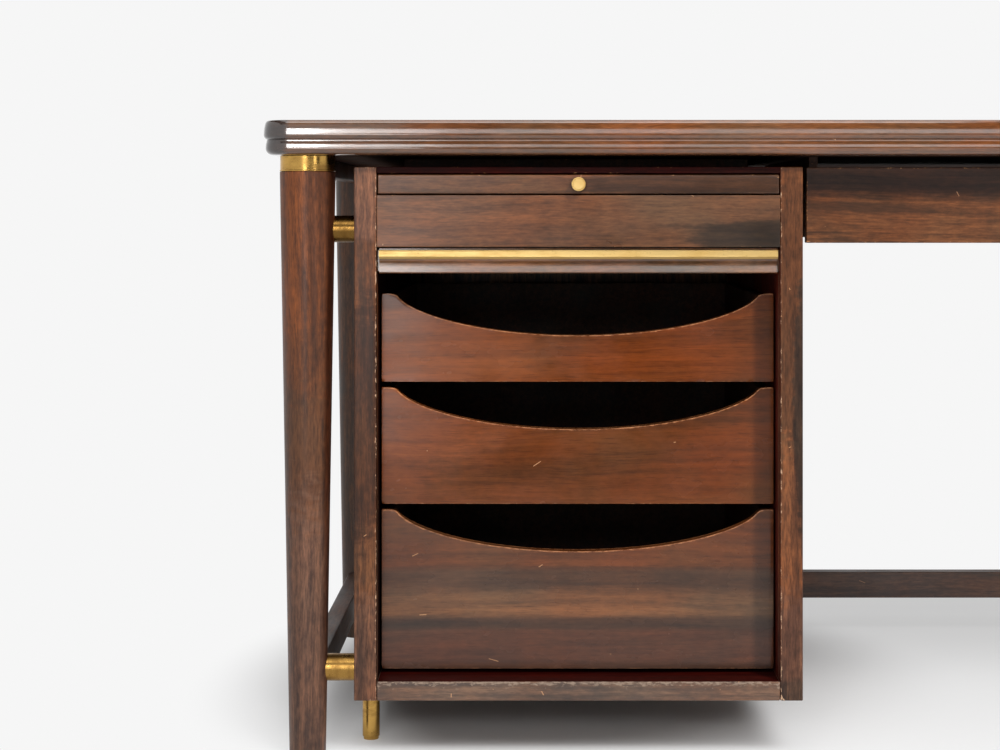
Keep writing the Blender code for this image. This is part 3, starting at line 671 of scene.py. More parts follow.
def repeat_tree():
    """One small item set on each point, each turned a little differently."""
    tree, graph, given, result = open_tree("small_fixings", (
        ("Places", "Geometry"), ("Item", "Object"), ("Turn", "Vector"), ("Spin", "Vector"), ("Seed", "Int"),
        ("Finish", "Material")))
    item = graph.add("GeometryNodeObjectInfo", {"Object": given["Item"]}, out="Geometry")
    points = graph.add("GeometryNodeMeshToPoints", {"Mesh": given["Places"]})
    chance = graph.tree.nodes.new("FunctionNodeRandomValue")
    chance.data_type = "FLOAT"
    chance.inputs[2].default_value = -1.0
    chance.inputs[3].default_value = 1.0
    graph.put(chance.inputs["Seed"], given["Seed"])
    spin = graph.add("ShaderNodeVectorMath", {0: given["Spin"], 3: chance.outputs[1]}, operation="SCALE")
    turn = graph.vector("ADD", given["Turn"], spin)
    laid = graph.add("GeometryNodeInstanceOnPoints", {"Points": points, "Instance": item, "Rotation": turn})
    solid = graph.add("GeometryNodeRealizeInstances", {0: laid})
    graph.put(result[0], graph.add("GeometryNodeSetMaterial", {"Geometry": solid, "Material": given["Finish"]}))
    return tree


def repeat(name, bm, places, turn, spin, finish, grain, body):
    """Copies of a small mesh at places, as one piece on a body."""
    item = into_scene(f"{name}_item", to_mesh(bm, f"{name}_item"))
    points = bpy.data.meshes.new(f"{name}_places")
    points.from_pydata(places, [], [])
    tree = bpy.data.node_groups.get("small_fixings") or repeat_tree()
    result = grow(tree, points, {"Item": item, "Turn": turn, "Spin": spin, "Seed": 7,
                                 "Finish": bpy.data.materials[finish]})
    bpy.data.objects.remove(item, do_unlink=True)
    result.name = name
    lay_grain(result, grain, name)
    return add_piece(name, result, finish, body)


class DESK_OT_finishes(bpy.types.Operator):
    """Make the lacquers, stains and metals"""
    bl_idname = "desk.finishes"
    bl_label = "Finishes"

    def execute(self, context):
        finish = context.scene.desk_finish
        # Greyer, paler copy of the frame wood: partly dirt, partly painted sheen and light.
        dust_and_sheen = shade(finish.frame_wood, 1.25, 1.6, 2.6)
        sooty = shade(finish.frame_wood, 0.55, 0.52, 0.50)
        self.frame_lacquer(finish, sooty)
        self.case_lacquer(finish, dust_and_sheen, sooty)
        self.apron_lacquer(finish)
        self.panel_lacquer(finish)
        self.inner_lacquers(finish, dust_and_sheen)
        self.top_lacquers(finish)
        self.drawer_lacquers(finish)
        self.metals(finish)
        canvas_cloth("canvas")
        return {"FINISHED"}

    def frame_lacquer(self, finish, sooty):
        """Legs and rails, with a red shoulder, a sooty knee and a pale shin on the legs, and painted shade on
        the side that faces the pedestal.
        """
        wood = finish.frame_wood
        low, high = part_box("leg_front_left")
        axis = (low.x + high.x) / 2, low.y
        shoulder = Patch((*axis, 0.60), (0.09, 0.09, 0.19), ragged=0.7, strength=0.75,
                         colour=shade(wood, 1.40, 1.00, 0.60))
        knee = Patch((*axis, 0.40), (0.09, 0.09, 0.12), ragged=0.8, strength=0.55, colour=sooty)
        shin = Patch((*axis, 0.03), (0.09, 0.09, 0.30), ragged=0.7, strength=0.60,
                     colour=shade(wood, 1.15, 1.55, 2.6))
        # Painted shade on the leg's side next to the pedestal, in the case's dark red.
        shaded_side = Patch((high.x, high.y - 0.02, 0.35), (0.017, 0.05, 0.6), ragged=0.3, strength=0.75,
                            colour=shade(finish.shaded, 0.8, 1.4, 0.8))
        lacquer("frame_lacquer", shade(wood, 0.80, 0.81, 0.82), roughness=0.42, coat=0.05, sheen=0.35,
                contrast=1.5, flecked=0.9, patches=[shoulder, knee, shin, shaded_side])

    def case_lacquer(self, finish, dust_and_sheen, sooty):
        """Pedestal's sides, with water and soot marks on the right and a grimy left, paler at its top."""
        wood = finish.frame_wood
        low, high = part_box("pedestal_side_right")
        water = Patch((low.x + 0.010, low.y, high.z - 0.47), (0.021, 0.03, 0.155), ragged=0.9, strength=0.75,
                      colour=shade(wood, 1.65, 1.45, 1.25))
        damp = Patch((low.x + 0.013, low.y, high.z - 0.16), (0.022, 0.03, 0.185), ragged=0.9, strength=0.75,
                     colour=sooty)
        scorch = Patch((low.x + 0.013, low.y, low.z), (0.03, 0.03, 0.028), ragged=0.6, strength=0.60,
                       colour=shade(finish.stain))
        tide = Patch((high.x, low.y, high.z - 0.27), (0.012, 0.03, 0.17), ragged=1.1, strength=0.70,
                     colour=shade(finish.stain, 0.7, 0.6, 0.6))
        low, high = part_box("pedestal_side_left")
        middle = (low.x + high.x) / 2
        grime = Patch((middle, low.y, low.z + 0.33), (0.05, 0.03, 0.15), ragged=0.9, strength=0.80,
                      colour=shade(wood, 0.40, 0.33, 0.28))
        # Paler towards the top of the left side.
        paler_stile_top = Patch((middle, low.y, high.z - 0.03), (0.05, 0.03, 0.065), ragged=0.7, strength=0.55,
                       colour=shade(wood, 1.75, 2.1, 3.2))
        low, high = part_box("pedestal_floor")
        # Greyer towards the floor, in the colour that paints dirt together with sheen.
        kicked = Patch(((low.x + high.x) / 2, low.y, low.z), (0.7, 0.05, 0.15), ragged=0.6, strength=0.55,
                       colour=dust_and_sheen)
        lacquer("case_lacquer", shade(wood, 1.08, 1.02, 0.95), roughness=0.38, coat=0.06, worn_from=0.525,
                sheen=0.22, contrast=1.4, flecked=1.0, bare=shade(finish.worn, 1.1, 1.45, 2.2),
                patches=[damp, water, tide, grime, paler_stile_top, kicked, scorch])

    def apron_lacquer(self, finish):
        """Kneehole drawer's front, with the shadow of the top's overhang painted along its upper edge."""
        low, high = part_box("kneehole_drawer_front")
        # Painted shadow: a dark band where the top's overhang shades the front's upper edge.
        overhang_shadow = Patch(((low.x + high.x) / 2, low.y, high.z), (3.0, 0.05, 0.034), ragged=0.15, strength=0.80,
                     colour=shade(finish.shaded, 0.4, 1.4, 1.4))
        lacquer("apron_lacquer", shade(finish.frame_wood, 1.08, 1.02, 0.95), roughness=0.38, coat=0.05,
                worn_from=0.56, sheen=0.22, contrast=1.3, patches=[overhang_shadow])

    def panel_lacquer(self, finish):
        """Fixed panel and writing slide, paler at one end and stained at the other."""
        low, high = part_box("pedestal_front_panel")
        panel_end = Patch((high.x + 0.010, low.y, low.z + 0.012), (0.128, 0.05, 0.024), ragged=0.45,
                          strength=0.85, colour=shade(finish.stain, 0.6, 0.5, 0.4))
        # Paler towards the panel's left end.
        paler_panel_left = Patch((low.x + 0.05, low.y, high.z - 0.02), (0.15, 0.05, 0.07), ragged=0.8, strength=0.35,
                      colour=shade(finish.frame_wood, 1.45, 1.25, 1.0))
        low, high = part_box("writing_slide")
        slide_end = Patch((high.x - 0.10, low.y, (low.z + high.z) / 2), (0.17, 0.05, 0.014), ragged=0.5,
                          strength=0.85, colour=shade(finish.frame_wood, 0.42, 0.40, 0.35))
        lacquer("panel_lacquer", finish.frame_wood, roughness=0.32, coat=0.15, worn_from=0.61, sheen=0.34,
                contrast=0.8, patches=[paler_panel_left, panel_end, slide_end])

    def inner_lacquers(self, finish, dust_and_sheen):
        """Lead rail, the stretchers with dirt and painted sheen, and the case's inner faces in dark red with
        painted shade and light.
        """
        lacquer("lead_lacquer", shade(finish.frame_wood, 1.7, 1.6, 1.3), roughness=0.16, coat=0.72,
                worn_from=0.62, sheen=0.6)
        # Stretchers: dirt, with painted sheen and light that lift them out of the shade under the desk.
        lacquer("dusty_lacquer", dust_and_sheen, roughness=0.50, coat=0.0, sheen=0.6)
        dim = {"coat": 0.0, "worn_from": 0.62, "stained": 0.2}
        # The case's dark red, dimmed, for faces that lie in shade: partly the lacquer's own dark red, partly
        # painted shade.
        lacquer("shaded_lacquer", shade(finish.shaded, 0.85, 0.6, 0.6), roughness=0.50, sheen=0.06, **dim)
        # Lit and shaded copies of the dark red: the brighter one paints the light on the right side's inner
        # face, the darker one the deep shade on the left side's inner face.
        lacquer("cherry_lacquer", shade(finish.shaded, 2.6, 3.2, 3.0), roughness=0.50, sheen=0.10, **dim)
        lacquer("blackened_lacquer", shade(finish.shaded, 0.25, 0.4, 0.5), roughness=0.60, sheen=0.05, **dim)

    def top_lacquers(self, finish):
        """Desktop, its glossy moulding with a painted dark reflection on one corner, its underside, and the
        scuffed floor with painted sheen.
        """
        low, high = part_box("top_edge_band")
        # Painted reflection: the moulding's front-left corner darkened to stand for the dark surroundings it
        # reflects.
        corner_dark_reflection = Patch((low.x + 0.003, low.y + 0.003, high.z), (0.031, 0.031, 0.09), ragged=0.4, strength=0.85,
                       colour=(0.020, 0.019, 0.020))
        lacquer("edge_lacquer", finish.edge_wood, roughness=0.13, coat=0.90, worn_from=0.64, sheen=0.6,
                stained=0.4, contrast=0.6, patches=[corner_dark_reflection])
        lacquer("top_lacquer", finish.frame_wood, roughness=0.24, coat=0.40, worn_from=0.62, sheen=0.5)
        lacquer("under_stain", finish.inner_wood, roughness=0.85, coat=0.0, worn_from=0.7, sheen=0.05)
        # Floor's front: real scuffs, on a greyer base that paints in the sheen of the bright floor it reflects.
        lacquer("scuffed_lacquer", shade(finish.frame_wood, 1.35, 1.8, 2.65), roughness=0.42, coat=0.05,
                worn_from=0.43, sheen=0.5, marked=SHORT_SCRATCHES, bare=(0.26, 0.185, 0.135))

    def drawer_lacquers(self, finish):
        """Red drawer fronts, the bottom one glued up from strips with painted shade along its lower edge, and
        the stain of the boxes.
        """
        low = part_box("drawer_top_front")[0]
        # Paler towards the left ends of the upper drawers.
        paler_drawer_left = Patch((low.x + 0.03, low.y, low.z + 0.03), (0.17, 0.05, 0.16), ragged=0.6, strength=0.6,
                         colour=shade(finish.drawer_wood, 1.5, 1.5, 1.3))
        rubbed = {"worn_from": 0.28, "feather": 0.36, "bare": shade(finish.worn, 1.05, 0.92, 0.90)}
        lacquer("drawer_lacquer", finish.drawer_wood, roughness=0.21, coat=0.11, sheen=0.3, stained=0.15,
                contrast=0.6, flecked=0.15, patches=[paler_drawer_left], **rubbed)
        low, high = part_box("drawer_bottom_front")
        red, grey, pale = (0.67, 0.92, 2.2, 1), (0.60, 1.05, 2.6, 1), (1.17, 1.97, 4.1, 1)
        dark, even = (0.44, 0.80, 2.2, 1), (0.86, 1.0, 1.4, 1)
        lacquer("banded_lacquer", finish.drawer_wood, roughness=0.24, coat=0.15, stained=0.2, contrast=0.65,
                flecked=0.3, strip_range=(low.z, high.z),
                # The dark stop at the very bottom, up to 0.06, paints shade along the front's lower edge; the
                # dark stops at 0.265 and 0.31 are a glued strip.
                strips=[(0.0, dark), (0.06, red), (0.23, red), (0.265, dark), (0.31, dark), (0.34, pale),
                        (0.43, pale), (0.53, grey), (0.61, grey), (0.65, even), (1.0, even)], **rubbed)
        lacquer("inner_stain", finish.inner_wood, roughness=0.60, coat=0.0, worn_from=0.62, sheen=0.25)

    def metals(self, finish):
        """Brass from polished to a darker copy that paints shade, and the screws' steel."""
        brass, tarnish = finish.brass, finish.tarnish
        metal("polished_brass", shade(brass, 1.19, 1.34, 1.8), brass, roughness=0.30)
        metal("aged_brass", shade(brass, 0.86, 0.83, 0.75), tarnish, roughness=0.14)
        metal("dull_brass", shade(brass, 0.58, 0.53, 0.47), shade(tarnish, 0.8, 0.75, 0.7), roughness=0.20)
        # Darker copy of the brass that paints the shade on the upper rod beside the leg.
        metal("smoked_brass", shade(brass, 0.30, 0.26, 0.22), shade(tarnish, 0.5, 0.45, 0.4), roughness=0.20)
        metal("steel", (0.42, 0.40, 0.37), (0.16, 0.12, 0.09), roughness=0.30)


def moulding_section(thickness, notch, width):
    """Edge moulding as (inset, drop) points, from how its face leans: two lobes with a fine bead between."""
    upper = [(share * notch, lean) for share, lean in UPPER_LOBE]
    lower = [(notch + share * (thickness - notch), lean) for share, lean in LOWER_LOBE]
    points, inset = [], 0.0
    for (drop, lean), (after, lean_after) in zip(upper + lower, (upper + lower)[1:]):
        for step in range(LEAN_STEPS):
            share = step / LEAN_STEPS
            points.append((inset, drop + (after - drop) * share))
            middle = math.radians(lean + (lean_after - lean) * (share + 0.5 / LEAN_STEPS))
            inset -= math.tan(middle) * (after - drop) / LEAN_STEPS
    points.append((inset, thickness))
    nearest = min(inset for inset, drop in points)
    return [(width, 0.0)] + [(inset - nearest, drop) for inset, drop in points] + [(width, thickness)]


def desktop_outline(low, high, radius, inset, steps):
    """Rounded rectangle drawn in by an inset, from the middle of the back edge round."""
    seam, guard_reach = 0.001, 0.002
    points = [(-seam, high.y - inset)]
    corners = ((low.x, high.y, 1), (low.x, low.y, 2), (high.x, low.y, 3), (high.x, high.y, 0))
    for x, y, quarter in corners:
        centre_x = x + math.copysign(radius, -x)
        centre_y = y + math.copysign(radius, -y)
        for step in range(-1, steps + 2):
            angle = (quarter + min(max(step, 0), steps) / steps) * QUARTER
            guard = guard_reach * ((step > steps) - (step < 0))
            points.append((centre_x + (radius - inset) * math.cos(angle) - guard * math.sin(angle),
                           centre_y + (radius - inset) * math.sin(angle) + guard * math.cos(angle)))
    return points + [(seam, high.y - inset)]


class DESK_OT_desktop(bpy.types.Operator):
    """Build the desktop and its two-lobed edge moulding"""
    bl_idname = "desk.desktop"
    bl_label = "Desktop"

    def execute(self, context):
        low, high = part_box("top_edge_band")
        panel_low, panel_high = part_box("top_panel")
        radius = 0.030
        band = panel_low.x - low.x
        bm = start()
        outline = desktop_outline(low, high, radius, band, steps=12)[1:-1]
        prism(bm, outline, panel_low.z, panel_high.z, place_up, radius=0.0004, margin=0.4 * (radius - band),
              wear_level=0.3)
        face_finish(finish_node("top_panel", bm, "top_lacquer", "xyz"), "under_stain", (0, 0, -1))
        bm = start()
        grain = bm.verts.layers.float_vector.new("grain")
        section = moulding_section(high.z - low.z, context.scene.desk_shape.notch, band - CLEARANCE)
        wear = bm.verts.layers.float["wear"]
        girth = [0.0]
        outer = [Vector(point) for point in desktop_outline(low, high, radius, 0.0, steps=16)]
        for here, after in zip(outer, outer[1:]):
            girth.append(girth[-1] + (after - here).length)
        rings = []
        for inset, drop in section:
            ring = []
            proud = inset < 0.0008 or drop < 0.001
            for (x, y), along in zip(desktop_outline(low, high, radius, inset, steps=16), girth):
                vert = bm.verts.new((x, y, high.z - drop))
                vert[grain] = (along, drop, inset)
                vert[wear] = 0.9 if proud else 0.4
                ring.append(vert)
            rings.append(ring)
        for first, second in zip(rings, rings[1:] + rings[:1]):
            pairs = list(zip(first, second))
            for (a, b), (c, d) in zip(pairs, pairs[1:] + pairs[:1]):
                bm.faces.new((a, c, d, b))
        finish_node("top_edge_band", bm, "edge_lacquer", "xyz")
        return {"FINISHED"}


class DESK_OT_legs(bpy.types.Operator):
    """Build the tapered legs and their brass ferrules"""
    bl_idname = "desk.legs"
    bl_label = "Legs"

    def execute(self, context):
        for place in ("front_left", "front_right", "rear_left", "rear_right"):
            low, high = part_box(f"leg_{place}")
            ring_low, ring_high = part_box(f"ferrule_{place}")
            centre = ((low.x + high.x) / 2, (low.y + high.y) / 2, 0.0)
            top, joint = (high.x - low.x) / 2, ring_low.z - CLEARANCE
            foot, neck = 0.0215, top - 0.004
            taper = [(foot + (top - foot) * z / joint, z) for z in (0.010, 0.2, 0.4, 0.6)]
            profile = [(0, 0), (foot, 0)] + taper + [(top, joint), (neck, joint), (neck, high.z), (0, high.z)]
            rounding = [0, 0.0022, 0, 0, 0, 0, 0.0012, 0, 0, 0]
            bm = start()
            turned(bm, fillet(profile, rounding, 5, False), centre, "z", worn_to=0.004)
            finish_node(f"leg_{place}", bm, "frame_lacquer", "zxy")
            inner, band, rim = top - 0.0032, top - 0.0005, ring_low.z + 0.0016
            ring = [(inner, ring_low.z), (top, ring_low.z), (top, rim), (band, rim + 0.0003),
                    (band, ring_high.z), (inner, ring_high.z)]
            bm = start()
            turned(bm, fillet(ring, [0, 0.0004, 0.0004, 0, 0.0005, 0], 3), centre, "z", closed=True)
            finish_node(f"ferrule_{place}", bm, "aged_brass", "xzy")
        return {"FINISHED"}


class DESK_OT_rails(bpy.types.Operator):
    """Build the rails under the top and the stretchers near the floor"""
    bl_idname = "desk.rails"
    bl_label = "Rails and stretchers"

    def execute(self, context):
        tenon = context.scene.desk_shape.tenon
        for kind, finish in (("rail", "frame_lacquer"), ("stretcher", "dusty_lacquer")):
            for side in ("left", "right"):
                board(f"side_{kind}_{side}", finish, "yzx", reach=(0, tenon, 0))
            board(f"back_{kind}", finish, "xzy", reach=(tenon, 0, 0))
        return {"FINISHED"}


def tambour_path():
    """Sizes of the tambour's path, taken from its solids."""
    shape = bpy.context.scene.desk_shape
    run_low, run_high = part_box("tambour_curtain")
    bend_low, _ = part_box("tambour_bend")
    thickness = run_high.z - run_low.z
    pitch = (run_high.y - run_low.y + shape.slat_gap) / shape.slats
    front, run = bend_low.y + thickness / 2, run_low.y - shape.slat_gap / 2
    radius = run - front
    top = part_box("tambour_lead_rail")[1].z
    rise = pitch * shape.bend_slats - radius * QUARTER
    return {"thickness": thickness, "pitch": pitch, "front": front, "run": run, "radius": radius, "top": top,
            "rise": rise, "level": (run_low.z + run_high.z) / 2, "x": (run_low.x, run_high.x),
            "bend": pitch * shape.bend_slats}


def path_point(path, distance, outward):
    """Point (y, z) at a distance past the lead rail and outward of the path's middle."""
    if distance <= path["rise"]:
        return path["front"] - outward, path["top"] + distance
    if distance <= path["bend"]:
        angle = (distance - path["rise"]) / path["radius"]
        reach = path["radius"] + outward
        return path["run"] - reach * math.cos(angle), path["top"] + path["rise"] + reach * math.sin(angle)
    return path["run"] + distance - path["bend"], path["level"] + outward


def groove_cutter(x0, x1):
    """Solid that cuts the groove for the slats' ends."""
    path = tambour_path()
    shape = bpy.context.scene.desk_shape
    half = path["thickness"] / 2 + CLEARANCE
    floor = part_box("pedestal_floor")[1].z + CLEARANCE
    arc, arc_steps, spare_run = path["bend"] - path["rise"], 16, 0.030
    stops = [floor - path["top"]]
    stops += [path["rise"] + arc * step / arc_steps for step in range(arc_steps + 1)]
    stops.append(path["bend"] + path["pitch"] * shape.slats + spare_run)
    outer = [path_point(path, stop, half) for stop in stops]
    inner = [path_point(path, stop, -half) for stop in stops]
    bm = start()
    prism(bm, outer + inner[::-1], x0, x1, place_side)
    return into_scene("groove_cutter", to_mesh(bm, "groove_cutter"))


class DESK_OT_case(bpy.types.Operator):
    """Build the pedestal case with its grooved sides"""
    bl_idname = "desk.case"
    bl_label = "Pedestal case"

    def execute(self, context):
        shape = context.scene.desk_shape
        curtain_low, curtain_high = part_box("tambour_curtain")
        end_play = 0.001
        cutter = groove_cutter(curtain_low.x - end_play, curtain_high.x + end_play)
        for side in ("left", "right"):
            node = f"pedestal_side_{side}"
            low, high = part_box(node)
            bm = start()
            plank(bm, low, high)
            blank = into_scene("grooved_side", to_mesh(bm, node))
            groove = blank.modifiers.new("groove", "BOOLEAN")
            groove.object = cutter
            groove.solver = "EXACT"
            context.view_layer.update()
            result = bpy.data.meshes.new_from_object(blank.evaluated_get(context.evaluated_depsgraph_get()))
            bpy.data.objects.remove(blank, do_unlink=True)
            bm = start()
            bm.from_mesh(result)
            wear = bm.verts.layers.float["wear"]
            middle = (low.x + high.x) / 2
            for vert in bm.verts:
                handled = (vert.co.x > middle) == (side == "left")
                worn = edge_wear(vert.co, low, high, shape.edge, shape.margin)
                vert[wear] = worn if handled else 0.75 * worn
            # The left side's inner face takes the copy that paints deep shade, and the right side's takes the
            # copy that paints light.
            inward, inner = (1, "blackened_lacquer") if side == "left" else (-1, "cherry_lacquer")
            face_finish(finish_node(node, bm, "case_lacquer", "zyx"), inner, (inward, 0, 0))
        bpy.data.objects.remove(cutter, do_unlink=True)
        # The top rail and the floor's top take the dimmed dark red, which partly paints their shade.
        board("pedestal_top", "shaded_lacquer", "xyz", 0.0008)
        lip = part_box("pedestal_floor")[0].z + 0.01
        floor = board("pedestal_floor", "scuffed_lacquer", "xyz", 0.0018,
                      rubbed=lambda place, worn: max(worn, 0.74) if place.z > lip else 0.6)
        face_finish(floor, "shaded_lacquer", (0, 0, 1))
        board("pedestal_back", "case_lacquer", "zxy")
        board("pedestal_front_panel", "panel_lacquer", "xzy", 0.0008)
        board("pedestal_packer", "inner_stain", "yxz")
        self.screws()
        return {"FINISHED"}

    def screws(self):
        """Slotted screws round the pedestal's back."""
        low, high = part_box("pedestal_back")
        inset, head, slot, sunk, proud = 0.012, 0.0036, 0.0005, 0.0010, 0.00025
        first_turn, arc_steps = math.asin(slot / head) - QUARTER, 10
        turns = [first_turn * (1 - 2 * step / arc_steps) for step in range(arc_steps + 1)]
        places = []
        for z in (low.z + 0.12, (low.z + high.z) / 2, high.z - 0.16, high.z - 0.05):
            places += [(low.x + inset, high.y, z), (high.x - inset, high.y, z)]
        bm = start()
        for side in (-1, 1):
            arc = [(side * head * math.cos(turn), head * math.sin(turn)) for turn in turns]
            prism(bm, arc, -sunk, proud, place_up)
        repeat("back_screws", bm, places, (-QUARTER, 0, 0), (0, 1.4, 0), "steel", "xzy", "frame")


class DESK_OT_brasswork(bpy.types.Operator):
    """Build the brass rods and feet of the pedestal"""
    bl_idname = "desk.brasswork"
    bl_label = "Rods and feet"

    def execute(self, context):
        tenon = context.scene.desk_shape.tenon
        # The upper rod takes the brass copy that paints its shade.
        for name, finish in (("upper", "smoked_brass"), ("lower", "dull_brass")):
            low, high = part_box(f"brass_rod_{name}")
            centre = (0, (low.y + high.y) / 2, (low.z + high.z) / 2)
            radius = (high.z - low.z) / 2
            profile = [(0, low.x - tenon), (radius, low.x - tenon), (radius, high.x), (0, high.x)]
            bm = start()
            turned(bm, fillet(profile, [0, 0.0005, 0.0006, 0], 3, False), centre, "x")
            finish_node(f"brass_rod_{name}", bm, finish, "yxz")
        for name in ("front", "rear"):
            low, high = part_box(f"pedestal_foot_{name}")
            centre = ((low.x + high.x) / 2, (low.y + high.y) / 2, 0)
            radius = (high.x - low.x) / 2
            base = radius - 0.0012
            profile = [(0, 0), (base, 0), (base, 0.0030), (radius - 0.0004, 0.0034), (radius, 0.0042),
                       (radius, high.z), (0, high.z)]
            bm = start()
            turned(bm, fillet(profile, [0, 0.0006, 0, 0.0003, 0.0004, 0.0006, 0], 3, False), centre, "z")
            finish_node(f"pedestal_foot_{name}", bm, "aged_brass", "xzy")
        return {"FINISHED"}


def knob(node):
    """Turned brass knob with a fine groove inside its rim."""
    low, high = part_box(node)
    centre = ((low.x + high.x) / 2, 0, (low.z + high.z) / 2)
    radius, face, back = (high.x - low.x) / 2, low.y, high.y
    rim, neck, shoulder = radius - 0.0014, 0.0045, face + 0.006
    profile = [(0, face), (rim - 0.0004, face), (rim, face + 0.0004), (rim + 0.0003, face), (radius, face),
               (radius, shoulder), (neck, shoulder), (neck, back), (0, back)]
    rounding = [0, 0.0002, 0.0001, 0.0002, 0.0008, 0.0006, 0.0006, 0, 0]
    bm = start()
    turned(bm, fillet(profile, rounding, 3, False), centre, "y")
    finish_node(node, bm, "polished_brass", "xyz")


class DESK_OT_writing_slide(bpy.types.Operator):
    """Build the writing slide, its knob and bearers"""
    bl_idname = "desk.writing_slide"
    bl_label = "Writing slide"

    def execute(self, context):
        board("writing_slide", "panel_lacquer", "xzy", 0.0012)
        knob("writing_slide_knob")
        for side in ("left", "right"):
            board(f"slide_bearer_{side}", "inner_stain", "yzx")
        return {"FINISHED"}


def slat_run(node, path, first, count):
    """Slats of one stretch of the path, and the canvas that they are glued to."""
    shape = bpy.context.scene.desk_shape
    shares = [step / PATH_STEPS for step in range(PATH_STEPS + 1)]
    pitch, gap, lift = path["pitch"], shape.slat_gap, 0.0005
    line = [path_point(path, first + (count - 1) * pitch * share + pitch / 2, lift) for share in shares]
    left, right = path["x"]
    mesh = bpy.data.meshes.new("slat_path")
    mesh.from_pydata([((left + right) / 2, y, z) for y, z in line], [(n, n + 1) for n in range(PATH_STEPS)], [])
    tree = bpy.data.node_groups.get("tambour_slats") or slat_tree()
    result = grow(tree, mesh, {
        "Slats": count, "Length": right - left, "Width": pitch - gap, "Thickness": path["thickness"] - 2 * lift,
        "Rounding": 0.0019, "Finish": bpy.data.materials["case_lacquer"]})
    result.name = f"finished_{node}"
    piece = add_piece(f"finished_{node}", result, "case_lacquer", BODY_OF[node])
    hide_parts(node)
    ends = [first + gap / 2 + (count * pitch - gap) * share for share in shares]
    inner_face, outer_face, inset = -0.0035, -0.0024, 0.010
    under = [path_point(path, stop, inner_face) for stop in ends]
    over = [path_point(path, stop, outer_face) for stop in ends]
    sides = left + inset, right - inset
    bm = start()
    prism(bm, under + over[::-1], *sides, place_side)
    cloth = to_mesh(bm, f"{node}_canvas")
    lay_grain(cloth, "xyz" if node == "tambour_curtain" else "xzy", node)
    canvas = add_piece(f"{node}_canvas", cloth, "canvas", BODY_OF[node])


class DESK_OT_tambour(bpy.types.Operator):
    """Build the tambour: lead rail, brass pull, slats and canvas"""
    bl_idname = "desk.tambour"
    bl_label = "Tambour"

    def execute(self, context):
        shape = context.scene.desk_shape
        low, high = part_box("tambour_lead_rail")
        pull_low, pull_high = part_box("tambour_pull")
        path = tambour_path()
        front, back = pull_high.y + CLEARANCE, high.y
        face = front + 0.0002
        section = [(back, low.z), (back, high.z), (front, high.z), (front, pull_low.z + 0.001)]
        rounding = [0.0015, 0.0015, 0.0008, 0.0004]
        cove_top, cove_foot = pull_low.z - 0.0008, low.z + 0.0012
        drop = (cove_top - cove_foot) / len(COVE_LEANS)
        inset = sum(math.tan(math.radians(lean)) * drop for lean in COVE_LEANS)
        for step, lean in enumerate(COVE_LEANS):
            section.append((face + inset, cove_top - step * drop))
            inset -= math.tan(math.radians(lean)) * drop
            rounding.append(0.0)
        section += [(face, cove_foot), (front + 0.0016, low.z)]
        rounding += [0.0009, 0.0006]
        bm = start()
        ends = pull_low.x + 0.0012, pull_high.x - 0.0012
        prism(bm, fillet(section, rounding), *ends, place_side, radius=0.0004, wear_level=0.55)
        half, trim, overlap = path["thickness"] / 2 - 0.0004, 0.0016, 0.002
        for x0, x1 in ((low.x, ends[0] + overlap), (ends[1] - overlap, high.x)):
            plank(bm, (x0, path["front"] - half, low.z + trim), (x1, path["front"] + half, high.z - trim))
        finish_node("tambour_lead_rail", bm, "lead_lacquer", "xzy")
        lip = [(pull_high.y, pull_low.z), (pull_high.y, pull_high.z), (pull_low.y + 0.0022, pull_high.z),
               (pull_low.y + 0.0013, pull_high.z - 0.0012), (pull_low.y + 0.0016, pull_high.z - 0.0019),
               (pull_low.y + 0.0007, pull_low.z + 0.0040), (pull_low.y, pull_low.z + 0.0031),
               (pull_low.y + 0.0030, pull_low.z)]
        bm = start()
        prism(bm, fillet(lip, 0.0006, 3), *ends, place_side, 0.0004)
        finish_node("tambour_pull", bm, "polished_brass", "xzy")
        slat_run("tambour_bend", path, 0.0, shape.bend_slats)
        slat_run("tambour_curtain", path, path["bend"], shape.slats)
        return {"FINISHED"}


def scoop_dip(across, chord, sag):
    """How far a drawer front's upper edge lies below its ears, with a soft shoulder beside each ear."""
    inside = 1 - (across / chord) ** 2
    softened = (inside + math.hypot(inside, SHOULDER)) / 2
    return sag * softened ** SCOOP_FULLNESS


